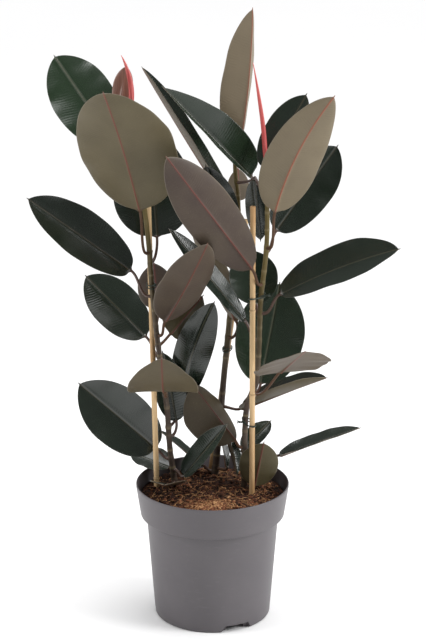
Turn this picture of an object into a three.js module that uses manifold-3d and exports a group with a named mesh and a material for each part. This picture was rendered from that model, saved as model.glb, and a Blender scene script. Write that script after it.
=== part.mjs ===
// A potted rubber plant: three stems tied to bamboo canes in a round nursery pot.
// Millimetres, +Z up. The origin is the centre of the pot's underside, and -Y is the front.

import * as THREE from 'three';
import { mergeVertices } from 'three/addons/utils/BufferGeometryUtils.js';
import Module from 'manifold-3d';

const wasm = await Module();
wasm.setup();

// Driving dimensions
const RIM_RADIUS = 120;
const POT_HEIGHT = 218;
const COLLAR_BOTTOM = 169;
const COLLAR_FOOT_RADIUS = 113.3;
const SHOULDER_RADIUS = 104;
const BASE_RADIUS = 91.3;
const BASE_ROUNDING = 4.4;
const WALL = 2.2;
const FLOOR = 3;
const FOOT_HEIGHT = 12;
const FOOT_INNER_RADIUS = 83;
const HUB_RADIUS = 30;
const NOTCH_COUNT = 3;
const NOTCH_FIRST_ANGLE = -65;
const NOTCH_HEIGHT = 11;
const NOTCH_WIDTH_TOP = 38;
const NOTCH_WIDTH_BOTTOM = 50;
const SOIL_LEVEL = 199;
const CANE_RADIUS = 4.4;
const CANE_FOOT = 100;
const STEM_FOOT = 165;
const PETIOLE_RADIUS = 2.3;
const LEAF_THICKNESS = 1.2;
const WIRE_RADIUS = 0.9;
const GAP = 0.35;

const v3 = (p) => new THREE.Vector3(...p);
const radians = THREE.MathUtils.degToRad;
const mix = THREE.MathUtils.lerp;

const LOOKS = {
  pot: { color: 0x6b6a6e, roughness: 0.6, metalness: 0 },
  soil: { color: 0x3c241a, roughness: 0.95, metalness: 0 },
  cane: { color: 0xd9bd8c, roughness: 0.6, metalness: 0 },
  stem: { color: 0x5c5236, roughness: 0.7, metalness: 0 },
  leaf: { color: 0x232b25, roughness: 0.35, metalness: 0 },
  sheath: { color: 0xc0413f, roughness: 0.5, metalness: 0 },
  tie: { color: 0x26322a, roughness: 0.6, metalness: 0 },
};

const plant = new THREE.Group();

function addPiece(name, geometry, look) {
  const mesh = new THREE.Mesh(geometry, new THREE.MeshStandardMaterial(LOOKS[look]));
  mesh.name = name;
  plant.add(mesh);
  return mesh;
}

// Booleans

function solidOf(geometry) {
  const bare = geometry.clone();
  bare.deleteAttribute('normal');
  bare.deleteAttribute('uv');
  const merged = mergeVertices(bare, 1e-4);
  return new wasm.Manifold(new wasm.Mesh({
    numProp: 3,
    vertProperties: new Float32Array(merged.attributes.position.array),
    triVerts: new Uint32Array(merged.index.array),
  }));
}

function geometryOf(solid) {
  const mesh = solid.getMesh();
  const geometry = new THREE.BufferGeometry();
  geometry.setAttribute('position', new THREE.BufferAttribute(mesh.vertProperties, 3));
  geometry.setIndex(new THREE.BufferAttribute(mesh.triVerts, 1));
  geometry.computeVertexNormals();
  return geometry;
}

function cutAway(geometry, cutters) {
  let solid = solidOf(geometry);
  for (const cutter of cutters) {
    solid = solid.subtract(solidOf(cutter));
  }
  return geometryOf(solid);
}

// Lofts: a closed skin over a row of rings that all have the same number of points

function loft(rings, closed = false) {
  const sides = rings[0].length;
  const positions = rings.flat().flatMap((p) => [p.x, p.y, p.z]);
  const index = [];
  const spans = closed ? rings.length : rings.length - 1;
  for (let i = 0; i < spans; i += 1) {
    const here = i * sides;
    const next = ((i + 1) % rings.length) * sides;
    for (let k = 0; k < sides; k += 1) {
      const k2 = (k + 1) % sides;
      index.push(here + k, here + k2, next + k);
      index.push(here + k2, next + k2, next + k);
    }
  }
  if (!closed) {
    for (let k = 1; k < sides - 1; k += 1) {
      index.push(0, k + 1, k);
      const last = (rings.length - 1) * sides;
      index.push(last, last + k, last + k + 1);
    }
  }
  const geometry = new THREE.BufferGeometry();
  geometry.setAttribute('position', new THREE.Float32BufferAttribute(positions, 3));
  geometry.setIndex(index);
  geometry.computeVertexNormals();
  return geometry;
}

// Unit vector of the part of `hint` that is square to `along`
function squareTo(hint, along) {
  return hint.clone().addScaledVector(along, -hint.dot(along)).normalize();
}

function circle(centre, across, up, radius, sides) {
  const ring = [];
  for (let k = 0; k < sides; k += 1) {
    const angle = (k / sides) * 2 * Math.PI;
    ring.push(centre.clone()
      .addScaledVector(across, radius * Math.cos(angle))
      .addScaledVector(up, radius * Math.sin(angle)));
  }
  return ring;
}

// A round rod along an upright curve, with a radius that may change from foot to top
function rod(curve, radiusAt, sides, steps) {
  const rings = [];
  for (let i = 0; i <= steps; i += 1) {
    const t = i / steps;
    const along = curve.getTangent(t);
    const across = squareTo(new THREE.Vector3(1, 0, 0), along);
    rings.push(circle(curve.getPoint(t), across, along.clone().cross(across), radiusAt(t), sides));
  }
  return loft(rings);
}

// The pot: one moulded shell with a collar. Its floor is raised between a sunk hub in the middle
// and a foot ring, which has drain notches in it

function roundedCorner(x, y, radius, fromDegrees, toDegrees, steps) {
  const points = [];
  for (let i = 0; i <= steps; i += 1) {
    const angle = radians(mix(fromDegrees, toDegrees, i / steps));
    points.push(new THREE.Vector2(x + radius * Math.cos(angle), y + radius * Math.sin(angle)));
  }
  return points;
}

function potShell() {
  const rimRound = WALL / 2;
  const outside = [
    new THREE.Vector2(0, 0),
    new THREE.Vector2(HUB_RADIUS, 0),
    new THREE.Vector2(HUB_RADIUS + 1, FOOT_HEIGHT),
    new THREE.Vector2(FOOT_INNER_RADIUS - 1, FOOT_HEIGHT),
    new THREE.Vector2(FOOT_INNER_RADIUS, 0),
    ...roundedCorner(BASE_RADIUS - BASE_ROUNDING, BASE_ROUNDING, BASE_ROUNDING, -90, -5, 3),
    new THREE.Vector2(SHOULDER_RADIUS, COLLAR_BOTTOM - 2),
    new THREE.Vector2(SHOULDER_RADIUS + 5, COLLAR_BOTTOM - 2),
    ...roundedCorner(COLLAR_FOOT_RADIUS - 2, COLLAR_BOTTOM, 2, -80, 0, 2),
    ...roundedCorner(RIM_RADIUS - rimRound, POT_HEIGHT - rimRound, rimRound, 0, 180, 4),
  ];
  const inside = [
    new THREE.Vector2(COLLAR_FOOT_RADIUS - WALL, COLLAR_BOTTOM + 3),
    new THREE.Vector2(SHOULDER_RADIUS - WALL, COLLAR_BOTTOM - 1),
    new THREE.Vector2(BASE_RADIUS - WALL, FOOT_HEIGHT + FLOOR + 3),
    new THREE.Vector2(BASE_RADIUS - BASE_ROUNDING, FOOT_HEIGHT + FLOOR),
    new THREE.Vector2(HUB_RADIUS - 1, FOOT_HEIGHT + FLOOR),
    new THREE.Vector2(HUB_RADIUS - 2, FLOOR),
    new THREE.Vector2(0, FLOOR),
  ];
  const shell = new THREE.LatheGeometry([...outside, ...inside], 48);
  shell.rotateX(Math.PI / 2);
  return shell;
}

function drainNotch(angle) {
  const reach = 14;
  const outline = new THREE.Shape([
    new THREE.Vector2(-NOTCH_WIDTH_BOTTOM / 2, -5),
    new THREE.Vector2(NOTCH_WIDTH_BOTTOM / 2, -5),
    new THREE.Vector2(NOTCH_WIDTH_BOTTOM / 2, 0),
    new THREE.Vector2(NOTCH_WIDTH_TOP / 2, NOTCH_HEIGHT),
    new THREE.Vector2(-NOTCH_WIDTH_TOP / 2, NOTCH_HEIGHT),
    new THREE.Vector2(-NOTCH_WIDTH_BOTTOM / 2, 0),
  ]);
  const notch = new THREE.ExtrudeGeometry(outline, { depth: 2 * reach, bevelEnabled: false });
  notch.translate(0, 0, -reach);
  notch.rotateX(Math.PI / 2);
  notch.rotateZ(Math.PI / 2);
  notch.translate(BASE_RADIUS + 4, 0, 0);
  notch.rotateZ(radians(angle));
  return notch;
}

const notches = [];
for (let i = 0; i < NOTCH_COUNT; i += 1) {
  notches.push(drainNotch(NOTCH_FIRST_ANGLE + (i * 360) / NOTCH_COUNT));
}
addPiece('pot', cutAway(potShell(), notches), 'pot');

// The canes: straight bamboo with slight rings at the nodes

const CANES = {
  left: { foot: [-88, 16, 203], top: [-98, 16, 690], rings: [0.2, 0.52, 0.83] },
  middle: { foot: [-3, 84, 202], top: [52, 92, 620], rings: [0.3, 0.6, 0.9] },
  right: { foot: [62, -13, 197], top: [61, -13, 668], rings: [0.13, 0.47, 0.71] },
};

function caneCurve({ foot, top }) {
  const along = v3(top).sub(v3(foot));
  const start = v3(foot).addScaledVector(along, (CANE_FOOT - foot[2]) / along.z);
  return new THREE.LineCurve3(start, v3(top));
}

function caneGeometry(row, extra = 0) {
  const line = caneCurve(row);
  const length = line.getLength() + extra;
  const radius = CANE_RADIUS + extra;
  const ring = new THREE.Vector2(radius + 0.5, 0);
  const profile = [new THREE.Vector2(0, -extra), new THREE.Vector2(radius, -extra)];
  for (const share of row.rings) {
    const height = share * length;
    profile.push(new THREE.Vector2(radius, height - 3));
    profile.push(new THREE.Vector2(ring.x, height));
    profile.push(new THREE.Vector2(radius, height + 3));
  }
  profile.push(new THREE.Vector2(radius, length), new THREE.Vector2(0, length));
  const cane = new THREE.LatheGeometry(profile, 10);
  const turn = new THREE.Quaternion().setFromUnitVectors(
    new THREE.Vector3(0, 1, 0),
    line.getTangent(0),
  );
  cane.applyQuaternion(turn);
  cane.translate(...line.v1.toArray());
  return cane;
}

for (const [side, row] of Object.entries(CANES)) {
  addPiece(`cane_${side}`, caneGeometry(row), 'cane');
}

// The stems: points up the centre line, then the radius at the soil and at the tip

const STEMS = {
  left: {
    points: [
      [-59, 30, 200], [-67, 28, 261], [-71, 23, 330], [-81, 11, 415],
      [-87, 5, 470], [-93, 3, 539], [-98, 2, 615], [-112, 0, 737], [-121, -5, 830],
    ],
    radius: [4.6, 3.2],
  },
  middle: {
    points: [
      [4, 73, 200], [9, 73, 260], [19, 73, 378], [25, 73, 444],
      [34, 73, 567], [40, 73, 647], [35, 72, 703], [35, 71, 732],
    ],
    radius: [5.6, 3.2],
  },
  right: {
    points: [
      [50, 12, 200], [51, 11, 301], [55, 10, 346], [68, 8, 380],
      [71, 8, 417], [74, 4, 515], [82, 2, 596], [83, 0, 656], [80, 0, 745],
    ],
    radius: [4.8, 3.2],
  },
};

function stemCurve(row) {
  const [foot, next] = row.points.map(v3);
  const slope = next.clone().sub(foot);
  const below = foot.clone().addScaledVector(slope, (STEM_FOOT - foot.z) / slope.z);
  return new THREE.CatmullRomCurve3([below, ...row.points.map(v3)]);
}

function stemRadiusAt(row, z) {
  const top = row.points.at(-1)[2];
  const share = THREE.MathUtils.clamp((z - SOIL_LEVEL) / (top - SOIL_LEVEL), 0, 1);
  return mix(row.radius[0], row.radius[1], share);
}

function stemGeometry(row, extra = 0) {
  const curve = stemCurve(row);
  const radiusAt = (t) => stemRadiusAt(row, curve.getPoint(t).z) + extra;
  return rod(curve, radiusAt, 8, 26);
}

// The curve's parameter where the centre line reaches height z
function parameterAtHeight(curve, z) {
  let low = 0;
  let high = 1;
  for (let i = 0; i < 30; i += 1) {
    const middle = (low + high) / 2;
    if (curve.getPoint(middle).z < z) {
      low = middle;
    } else {
      high = middle;
    }
  }
  return (low + high) / 2;
}

for (const [side, row] of Object.entries(STEMS)) {
  addPiece(`stem_${side}`, stemGeometry(row), 'stem');
}

// The soil: a plug with a mounded top, with room for the canes and the stem feet

function soilGeometry() {
  const plug = new THREE.LatheGeometry([
    new THREE.Vector2(0, FLOOR + GAP),
    new THREE.Vector2(HUB_RADIUS - 2.6, FLOOR + GAP),
    new THREE.Vector2(HUB_RADIUS - 1.6, FOOT_HEIGHT + FLOOR + GAP),
    new THREE.Vector2(BASE_RADIUS - BASE_ROUNDING - 0.6, FOOT_HEIGHT + FLOOR + GAP),
    new THREE.Vector2(BASE_RADIUS - WALL - 0.6, FOOT_HEIGHT + FLOOR + 3),
    new THREE.Vector2(SHOULDER_RADIUS - WALL - 0.6, COLLAR_BOTTOM - 1),
    new THREE.Vector2(COLLAR_FOOT_RADIUS - WALL - 1, COLLAR_BOTTOM + 3.5),
    new THREE.Vector2(114, SOIL_LEVEL - 2.5),
    new THREE.Vector2(104, SOIL_LEVEL - 1),
    new THREE.Vector2(80, SOIL_LEVEL + 1),
    new THREE.Vector2(40, SOIL_LEVEL + 3),
    new THREE.Vector2(0, SOIL_LEVEL + 2),
  ], 40);
  plug.rotateX(Math.PI / 2);
  const holes = [];
  for (const row of Object.values(CANES)) {
    holes.push(caneGeometry(row, GAP));
  }
  for (const row of Object.values(STEMS)) {
    holes.push(stemGeometry(row, GAP));
  }
  return cutAway(plug, holes);
}

addPiece('soil', soilGeometry(), 'soil');

// The leaves. Each row gives the height of the joint on the stem, the blade's base and tip,
// the way the upper face looks, and the blade's width. The rest bends the blade:
// bow: how far the middle of the midrib sags towards the underside
// sway: how far it swings to the blade's right, seen from above with the tip ahead
// fold: how far each half rises from flat, in degrees; curl: the same, but growing to the edge
// twist: how far the tip is turned from the base, in degrees
// belly: where the blade is widest, as a share of its length
// point: how sharply the blade narrows to its tip

const LEAVES = {
  left: [
    { joint: 208, base: [-63, 16, 206], tip: [-74, -60, 237], face: [0, 0.375, 0.927], width: 58 },
    { joint: 218, base: [-68, 46, 224], tip: [-130, 75, 238], face: [0, -0.3, 1], width: 56 },
    { joint: 228, base: [-46, 14, 222], tip: [22, -25, 322], face: [-0.4, -0.8, 0.5], width: 40,
      fold: 26 },
    { joint: 246, base: [-88, 36, 260], tip: [-209, 50, 363], face: [0, -1, 0.3], width: 95 },
    { joint: 283, base: [-57, 36, 306], tip: [-78, 52, 414], face: [0, -1, 0.3], width: 50 },
    { joint: 356, base: [-75, 0, 374], tip: [-76, -110, 459], face: [0, 0.6, 0.8], width: 108,
      bow: 22, fold: 1, curl: -4 },
    { joint: 416, base: [-104, 54, 440], tip: [-199, 110, 522], face: [-0.3, -0.7, 0.7], width: 76 },
    { joint: 440, base: [-66, 36, 450], tip: [-16, 74, 500], face: [0, 1, 0.3], width: 76 },
    { joint: 458, base: [-73, -6, 484], tip: [-8, -75, 626], face: [-0.3, 0.9, 0.3], width: 78,
      belly: 0.42, sway: -3 },
    { joint: 474, base: [-85, 46, 489], tip: [-92, 95, 548], face: [0, 0.8, -0.6], width: 58 },
    { joint: 522, base: [-124, 4, 562], tip: [-276, -20, 681], face: [0.1, -0.8, 0.7], width: 80 },
    { joint: 574, base: [-85, 26, 609], tip: [-100, 70, 770], face: [0, -1, 0.2], width: 122,
      belly: 0.4 },
    { joint: 592, base: [-109, -14, 661], tip: [-156, -120, 863], face: [0.2, 1, 0.3], width: 150,
      belly: 0.42, bow: -8 },
    { joint: 700, base: [-150, 24, 758], tip: [-240, 95, 875], face: [-0.2, -0.8, 0.5], width: 95 },
    { joint: 796, base: [-140, 6, 815], tip: [-128, 8, 877], face: [0, 1, 0], width: 30 },
    { joint: 300, base: [-48, 60, 330], tip: [2, 12, 508], face: [-0.1, -1, 0.1], width: 60,
      sway: -8, fold: -10, curl: -4 },
  ],
  middle: [
    { joint: 206, base: [-14, 80, 214], tip: [-84, 95, 268], face: [0.3, 0.1, 1], width: 38 },
    { joint: 214, base: [24, 58, 220], tip: [16, 48, 262], face: [1, -0.2, 0.1], width: 34 },
    { joint: 268, base: [24, 56, 272], tip: [38, 38, 215], face: [1, -0.4, 0.3], width: 30,
      fold: 36 },
    { joint: 318, base: [44, 66, 316], tip: [176, 8, 388], face: [-0.45, 0.05, 0.9], width: 66,
      fold: 28, twist: -12 },
    { joint: 434, base: [38, 60, 462], tip: [-33, 50, 632], face: [0.6, 0.8, 0], width: 46 },
    { joint: 566, base: [20, 56, 583], tip: [-10, 68, 710], face: [0, -1, 0.3], width: 70 },
    { joint: 610, base: [28, 96, 640], tip: [-107, 122, 852], face: [0.9, -0.3, 0.2], width: 42,
      sway: -6, fold: 40 },
    { joint: 640, base: [41, 100, 648], tip: [40, 136, 690], face: [0, 1, -0.6], width: 34 },
    { joint: 684, base: [60, 58, 696], tip: [-73, 10, 845], face: [0.7, -0.6, 0.4], width: 78,
      fold: 36, belly: 0.32, point: 1 },
    { joint: 718, base: [40, 62, 742], tip: [60, 60, 953], face: [-0.6, 0.8, 0.1], width: 76,
      fold: 40, sway: -6, belly: 0.42 },
  ],
  right: [
    { joint: 206, base: [66, -1, 211], tip: [80, -2, 283], face: [0, 1, 0.1], width: 62 },
    { joint: 240, base: [104, 24, 253], tip: [231, 30, 297], face: [-0.3, 0.03, 1], width: 52,
      fold: 10 },
    { joint: 262, base: [48, 38, 258], tip: [92, 80, 290], face: [-0.2, -0.6, 0.8], width: 36 },
    { joint: 272, base: [36, 6, 284], tip: [-30, 26, 370], face: [-0.5, 0.8, -0.3], width: 100,
      fold: 44, curl: 2 },
    { joint: 350, base: [75, 30, 370], tip: [105, 75, 520], face: [0, -1, 0.2], width: 108 },
    { joint: 366, base: [104, -22, 408], tip: [137, -122, 474], face: [-0.16, 0.5, 0.85], width: 118,
      fold: -3, curl: -4 },
    { joint: 448, base: [51, 26, 474], tip: [-64, -15, 632], face: [0.5, -0.5, 0.5], width: 44 },
    { joint: 484, base: [68, 30, 500], tip: [59, 70, 576], face: [0, -1, 0.5], width: 76 },
    { joint: 494, base: [103, -2, 526], tip: [280, -30, 606], face: [-0.3, -0.5, 0.8], width: 80,
      belly: 0.54, sway: -8 },
    { joint: 541, base: [60, -30, 574], tip: [-66, -110, 766], face: [-0.4, 0.9, 0.2], width: 82 },
    { joint: 592, base: [97, 22, 620], tip: [190, 60, 743], face: [0, -1, 0.3], width: 80,
      belly: 0.56 },
    { joint: 600, base: [94, -14, 659], tip: [176, -80, 849], face: [0, 1, 0.2], width: 84,
      sway: 10, belly: 0.38 },
    { joint: 680, base: [64, 30, 700], tip: [74, 50, 599], face: [-0.2, -1, 0], width: 36 },
    { joint: 696, base: [78, 28, 716], tip: [142, 70, 821], face: [-0.3, -0.8, 0.5], width: 62 },
  ],
};

// Half width of the blade at share t of its length, for a blade of half width 1
function outlineAt(t, belly, point) {
  if (t < belly) {
    return Math.sqrt(1 - ((belly - t) / belly) ** 2.2);
  }
  return (1 - ((t - belly) / (1 - belly)) ** 2.1) ** point;
}

const BLADE_STATIONS = [0, 0.04, 0.12, 0.24, 0.38, 0.52, 0.66, 0.79, 0.9, 0.97, 1];
const UPPER_SHARES = [-1, -0.5, 0, 0.5, 1];
const LOWER_SHARES = [0.5, 0, -0.5];

function petioleCurve(foot, outward, base, bladeStart) {
  const reach = foot.distanceTo(base);
  return new THREE.CubicBezierCurve3(
    foot,
    foot.clone().addScaledVector(outward, 0.35 * reach),
    base.clone().addScaledVector(bladeStart, -0.35 * reach),
    base,
  );
}

function leafGeometry(stemRow, row) {
  const { bow = 0, sway = 0, fold = 8, curl = 6, twist = 0, belly = 0.5, point = 0.72 } = row;
  const stem = stemCurve(stemRow);
  const at = parameterAtHeight(stem, row.joint);
  const centre = stem.getPoint(at);
  const base = v3(row.base);
  const tip = v3(row.tip);
  const outward = squareTo(base.clone().sub(centre), stem.getTangent(at));
  const foot = centre.addScaledVector(outward, stemRadiusAt(stemRow, row.joint) + GAP);

  const chord = tip.clone().sub(base).normalize();
  const upper = squareTo(v3(row.face), chord);
  const right = chord.clone().cross(upper);
  const middle = base.clone().add(tip).multiplyScalar(0.5)
    .addScaledVector(upper, -2 * bow)
    .addScaledVector(right, 2 * sway);
  const midrib = new THREE.QuadraticBezierCurve3(base, middle, tip);
  const petiole = petioleCurve(foot, outward, base, midrib.getTangent(0));

  const rings = [];
  for (const t of [0, 0.3, 0.65, 0.92]) {
    const along = petiole.getTangent(t);
    const up = squareTo(v3(row.face), along);
    const ring = circle(petiole.getPoint(t), along.clone().cross(up), up, PETIOLE_RADIUS, 8);
    rings.push([4, 3, 2, 1, 0, 7, 6, 5].map((k) => ring[k]));
  }
  for (const t of BLADE_STATIONS.slice(1)) {
    const along = midrib.getTangent(t);
    const level = squareTo(upper, along);
    level.applyAxisAngle(along, radians(twist) * t);
    const side = along.clone().cross(level);
    const half = Math.max((row.width / 2) * outlineAt(t, belly, point), 0.8);
    const rib = mix(1.5 * PETIOLE_RADIUS, LEAF_THICKNESS, Math.min(1, 1.6 * t));
    const place = (share, drop) => {
      const rise = Math.sin(radians(fold)) * Math.abs(share) + Math.sin(radians(curl)) * share ** 2;
      return midrib.getPoint(t)
        .addScaledVector(side, half * share * Math.cos(radians(fold)))
        .addScaledVector(level, half * rise - drop);
    };
    const ring = UPPER_SHARES.map((share) => place(share, 0));
    for (const share of LOWER_SHARES) {
      ring.push(place(share, share === 0 ? rib : LEAF_THICKNESS));
    }
    rings.push(ring);
  }
  return loft(rings);
}

for (const [side, rows] of Object.entries(LEAVES)) {
  rows.forEach((row, i) => {
    const number = String(i + 1).padStart(2, '0');
    addPiece(`leaf_${side}_${number}`, leafGeometry(STEMS[side], row), 'leaf');
  });
}

// The ties: loops of thin coated wire, each round a stem and its cane

const TIES = { left: [538], middle: [413, 545], right: [317, 523] };
const TIE_SLACK = 2;

function tieGeometry(side, height) {
  const stem = stemCurve(STEMS[side]);
  const cane = caneCurve(CANES[side]);
  const a = stem.getPoint(parameterAtHeight(stem, height));
  const b = cane.getPoint(parameterAtHeight(cane, height));
  const apart = b.clone().sub(a);
  const along = apart.clone().setZ(0).normalize();
  const across = new THREE.Vector3(-along.y, along.x, 0);
  const radius = Math.max(stemRadiusAt(STEMS[side], height), CANE_RADIUS + 0.5) + WIRE_RADIUS;
  const half = apart.length() / 2 + radius + TIE_SLACK;
  const centre = a.clone().add(b).multiplyScalar(0.5);
  const points = [];
  for (let k = 0; k < 12; k += 1) {
    const angle = (k / 12) * 2 * Math.PI;
    points.push(centre.clone()
      .addScaledVector(along, half * Math.cos(angle))
      .addScaledVector(across, (radius + TIE_SLACK) * Math.sin(angle)));
  }
  const loop = new THREE.CatmullRomCurve3(points, true);
  return loopOfWire(loop, WIRE_RADIUS, 5, 24);
}

function loopOfWire(loop, radius, sides, steps) {
  const rings = [];
  for (let i = 0; i < steps; i += 1) {
    const along = loop.getTangent(i / steps);
    const up = squareTo(new THREE.Vector3(0, 0, 1), along);
    rings.push(circle(loop.getPoint(i / steps), up.clone().cross(along), up, radius, sides));
  }
  return loft(rings, true);
}

for (const [side, heights] of Object.entries(TIES)) {
  heights.forEach((height, i) => {
    addPiece(`tie_${side}_${i + 1}`, tieGeometry(side, height), 'tie');
  });
}

// The leaf sheaths: slim red spikes at the growing tips

const SHEATHS = {
  left: { foot: [-120, -6, 835], bend: [-118, -6, 866], tip: [-135, -8, 897], radius: 4.4 },
  right: { foot: [79, 0, 752], bend: [76, 0, 805], tip: [60, 0, 885], radius: 3.8 },
};

for (const [side, row] of Object.entries(SHEATHS)) {
  const curve = new THREE.QuadraticBezierCurve3(v3(row.foot), v3(row.bend), v3(row.tip));
  const radiusAt = (t) => row.radius * (0.7 + 0.9 * t) * (1 - t) ** 0.8 + 0.4;
  addPiece(`sheath_${side}`, rod(curve, radiusAt, 8, 8), 'sheath');
}

export default plant;
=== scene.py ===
"""A potted rubber plant: three stems tied to bamboo canes in a round nursery pot, in a plain studio.

Everything is in metres, +Z up, with the front of the plant towards -Y. Sizes written in
millimetres are turned into metres where they are used, through the MM constant.
"""

from __future__ import annotations

import logging
import math
import random
from collections.abc import Iterable, Sequence
from dataclasses import dataclass, field
from enum import Enum

import bpy
import numpy as np
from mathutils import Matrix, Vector, noise

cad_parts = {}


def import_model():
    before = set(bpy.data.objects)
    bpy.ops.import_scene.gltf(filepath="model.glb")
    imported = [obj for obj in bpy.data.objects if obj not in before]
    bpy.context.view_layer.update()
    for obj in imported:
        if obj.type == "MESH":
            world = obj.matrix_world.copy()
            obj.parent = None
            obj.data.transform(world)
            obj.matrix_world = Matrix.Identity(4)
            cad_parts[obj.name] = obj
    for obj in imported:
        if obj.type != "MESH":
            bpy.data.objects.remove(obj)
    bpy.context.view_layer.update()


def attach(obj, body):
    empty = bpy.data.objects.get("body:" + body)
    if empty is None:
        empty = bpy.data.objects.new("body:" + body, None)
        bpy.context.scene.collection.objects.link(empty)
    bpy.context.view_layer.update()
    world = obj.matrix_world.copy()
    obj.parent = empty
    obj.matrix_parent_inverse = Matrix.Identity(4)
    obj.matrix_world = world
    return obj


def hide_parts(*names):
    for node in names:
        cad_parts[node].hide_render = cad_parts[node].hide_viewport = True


LOG = logging.getLogger("rubber_plant")
MM = 0.001
ROOT_BODY = "root"

Colour = tuple[float, float, float]
Point = tuple[float, float, float]


# ---------------------------------------------------------------------------
# Shader writing
# ---------------------------------------------------------------------------


class Socket:
    """A shader value that is written like a number: each operator adds one Math node."""

    def __init__(self, kit: ShaderKit, link: bpy.types.NodeSocket) -> None:
        """Wraps an output socket.

        Args:
            kit: The material being written.
            link: The output that carries the value.
        """
        self.kit = kit
        self.link = link

    def _math(self, operation: str, *values: Socket | float) -> Socket:
        """Adds one Math node over this value and the ones given."""
        return self.kit.math(operation, *values)

    def __add__(self, other: Socket | float) -> Socket:
        """This value plus another."""
        return self._math("ADD", self, other)

    __radd__ = __add__

    def __sub__(self, other: Socket | float) -> Socket:
        """This value less another."""
        return self._math("SUBTRACT", self, other)

    def __rsub__(self, other: float) -> Socket:
        """A number less this value."""
        return self._math("SUBTRACT", other, self)

    def __mul__(self, other: Socket | float) -> Socket:
        """This value times another."""
        return self._math("MULTIPLY", self, other)

    __rmul__ = __mul__

    def __truediv__(self, other: Socket | float) -> Socket:
        """This value over another."""
        return self._math("DIVIDE", self, other)

    def __pow__(self, power: float) -> Socket:
        """This value to a power."""
        return self._math("POWER", self, power)

    def __abs__(self) -> Socket:
        """This value without its sign."""
        return self._math("ABSOLUTE", self)

    def sine(self) -> Socket:
        """The sine of this value, in radians."""
        return self._math("SINE", self)

    def between(self, low: float, high: float) -> Socket:
        """A smooth step from 0 at `low` to 1 at `high`, which may also run downwards.

        Args:
            low: The value that gives 0.
            high: The value that gives 1.

        Returns:
            The step, held inside 0 to 1.
        """
        node = self.kit.node(
            "ShaderNodeMapRange",
            {"interpolation_type": "SMOOTHSTEP"},
            {"Value": self, "From Min": low, "From Max": high},
        )
        return Socket(self.kit, node.outputs["Result"])


class ShaderKit:
    """Writes one material's node tree."""

    def __init__(self, name: str) -> None:
        """Starts an empty material with a Principled shader.

        Args:
            name: The material's name.
        """
        self.material = bpy.data.materials.new(name)
        self.material.use_nodes = True
        self.tree = self.material.node_tree
        self.tree.nodes.clear()
        self.output = self.tree.nodes.new("ShaderNodeOutputMaterial")
        self.shader = self.tree.nodes.new("ShaderNodeBsdfPrincipled")
        self.tree.links.new(self.shader.outputs["BSDF"], self.output.inputs["Surface"])

    def node(
        self,
        kind: str,
        settings: dict[str, object] | None = None,
        inputs: dict[str | int, object] | None = None,
    ) -> bpy.types.Node:
        """Adds a node, sets it up, then fills or links its sockets.

        Args:
            kind: The node's type name.
            settings: Properties of the node, set first.
            inputs: Socket names or numbers with the value or Socket that each takes.

        Returns:
            The new node.
        """
        node = self.tree.nodes.new(kind)
        for key, value in (settings or {}).items():
            setattr(node, key, value)
        for key, value in (inputs or {}).items():
            self.fill(node.inputs[key], value)
        return node

    def fill(self, target: bpy.types.NodeSocket, value: object) -> None:
        """Links a Socket to an input, or sets the input's own value."""
        if isinstance(value, Socket):
            self.tree.links.new(value.link, target)
        elif isinstance(value, tuple) and len(value) == 3 and target.type == "RGBA":
            target.default_value = (*value, 1.0)
        else:
            target.default_value = value

    def math(self, operation: str, *values: Socket | float) -> Socket:
        """Adds a Math node.

        Args:
            operation: The node's operation.
            values: Numbers or Sockets, in the node's order.

        Returns:
            The node's result.
        """
        node = self.node("ShaderNodeMath", {"operation": operation}, dict(enumerate(values)))
        return Socket(self, node.outputs["Value"])

    def attribute(self, name: str) -> Socket:
        """The value that a mesh holds at each point under this name."""
        node = self.node("ShaderNodeAttribute", {"attribute_name": name})
        return Socket(self, node.outputs["Fac"])

    def place(self, stretch: Point = (1.0, 1.0, 1.0)) -> Socket:
        """The object's own coordinates, in metres, scaled along each axis.

        Args:
            stretch: The scale along X, Y and Z.

        Returns:
            The scaled coordinates.
        """
        here = self.node("ShaderNodeTexCoord")
        scaled = self.node(
            "ShaderNodeVectorMath",
            {"operation": "MULTIPLY"},
            {0: Socket(self, here.outputs["Object"]), 1: stretch},
        )
        return Socket(self, scaled.outputs["Vector"])

    def noise(self, per_metre: float, detail: float = 3.0, where: Socket | None = None) -> Socket:
        """Soft noise between about 0 and 1.

        Args:
            per_metre: How many features fit in a metre.
            detail: How many finer layers it has.
            where: Coordinates, or None for the object's own.

        Returns:
            The noise.
        """
        node = self.node(
            "ShaderNodeTexNoise",
            None,
            {"Vector": where or self.place(), "Scale": per_metre, "Detail": detail},
        )
        return Socket(self, node.outputs["Fac"])

    def cells(self, per_metre: float) -> Socket:
        """The distance to the nearest of many scattered points, in cells."""
        inputs = {"Vector": self.place(), "Scale": per_metre}
        return Socket(self, self.node("ShaderNodeTexVoronoi", None, inputs).outputs["Distance"])

    def blend(self, share: Socket, first: Colour | Socket, second: Colour | Socket) -> Socket:
        """A colour that goes from the first to the second as share goes from 0 to 1."""
        node = self.node(
            "ShaderNodeMix",
            {"data_type": "RGBA", "clamp_factor": True},
            {0: share, 6: first, 7: second},
        )
        return Socket(self, node.outputs[2])

    def relief(self, height: Socket, depth: float) -> None:
        """Raises the surface's normal by a height pattern.

        Args:
            height: The pattern, about 0 to 1.
            depth: How far 1 stands above 0, in metres.
        """
        inputs = {"Height": height, "Distance": depth, "Strength": 1.0}
        node = self.node("ShaderNodeBump", None, inputs)
        self.fill(self.shader.inputs["Normal"], Socket(self, node.outputs["Normal"]))

    def done(self, **sockets: object) -> bpy.types.Material:
        """Fills the Principled shader's sockets and hands over the material.

        Args:
            sockets: Values by socket name, with an underscore for each space.

        Returns:
            The finished material.
        """
        for name, value in sockets.items():
            self.fill(self.shader.inputs[name.replace("_", " ")], value)
        return self.material


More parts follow.
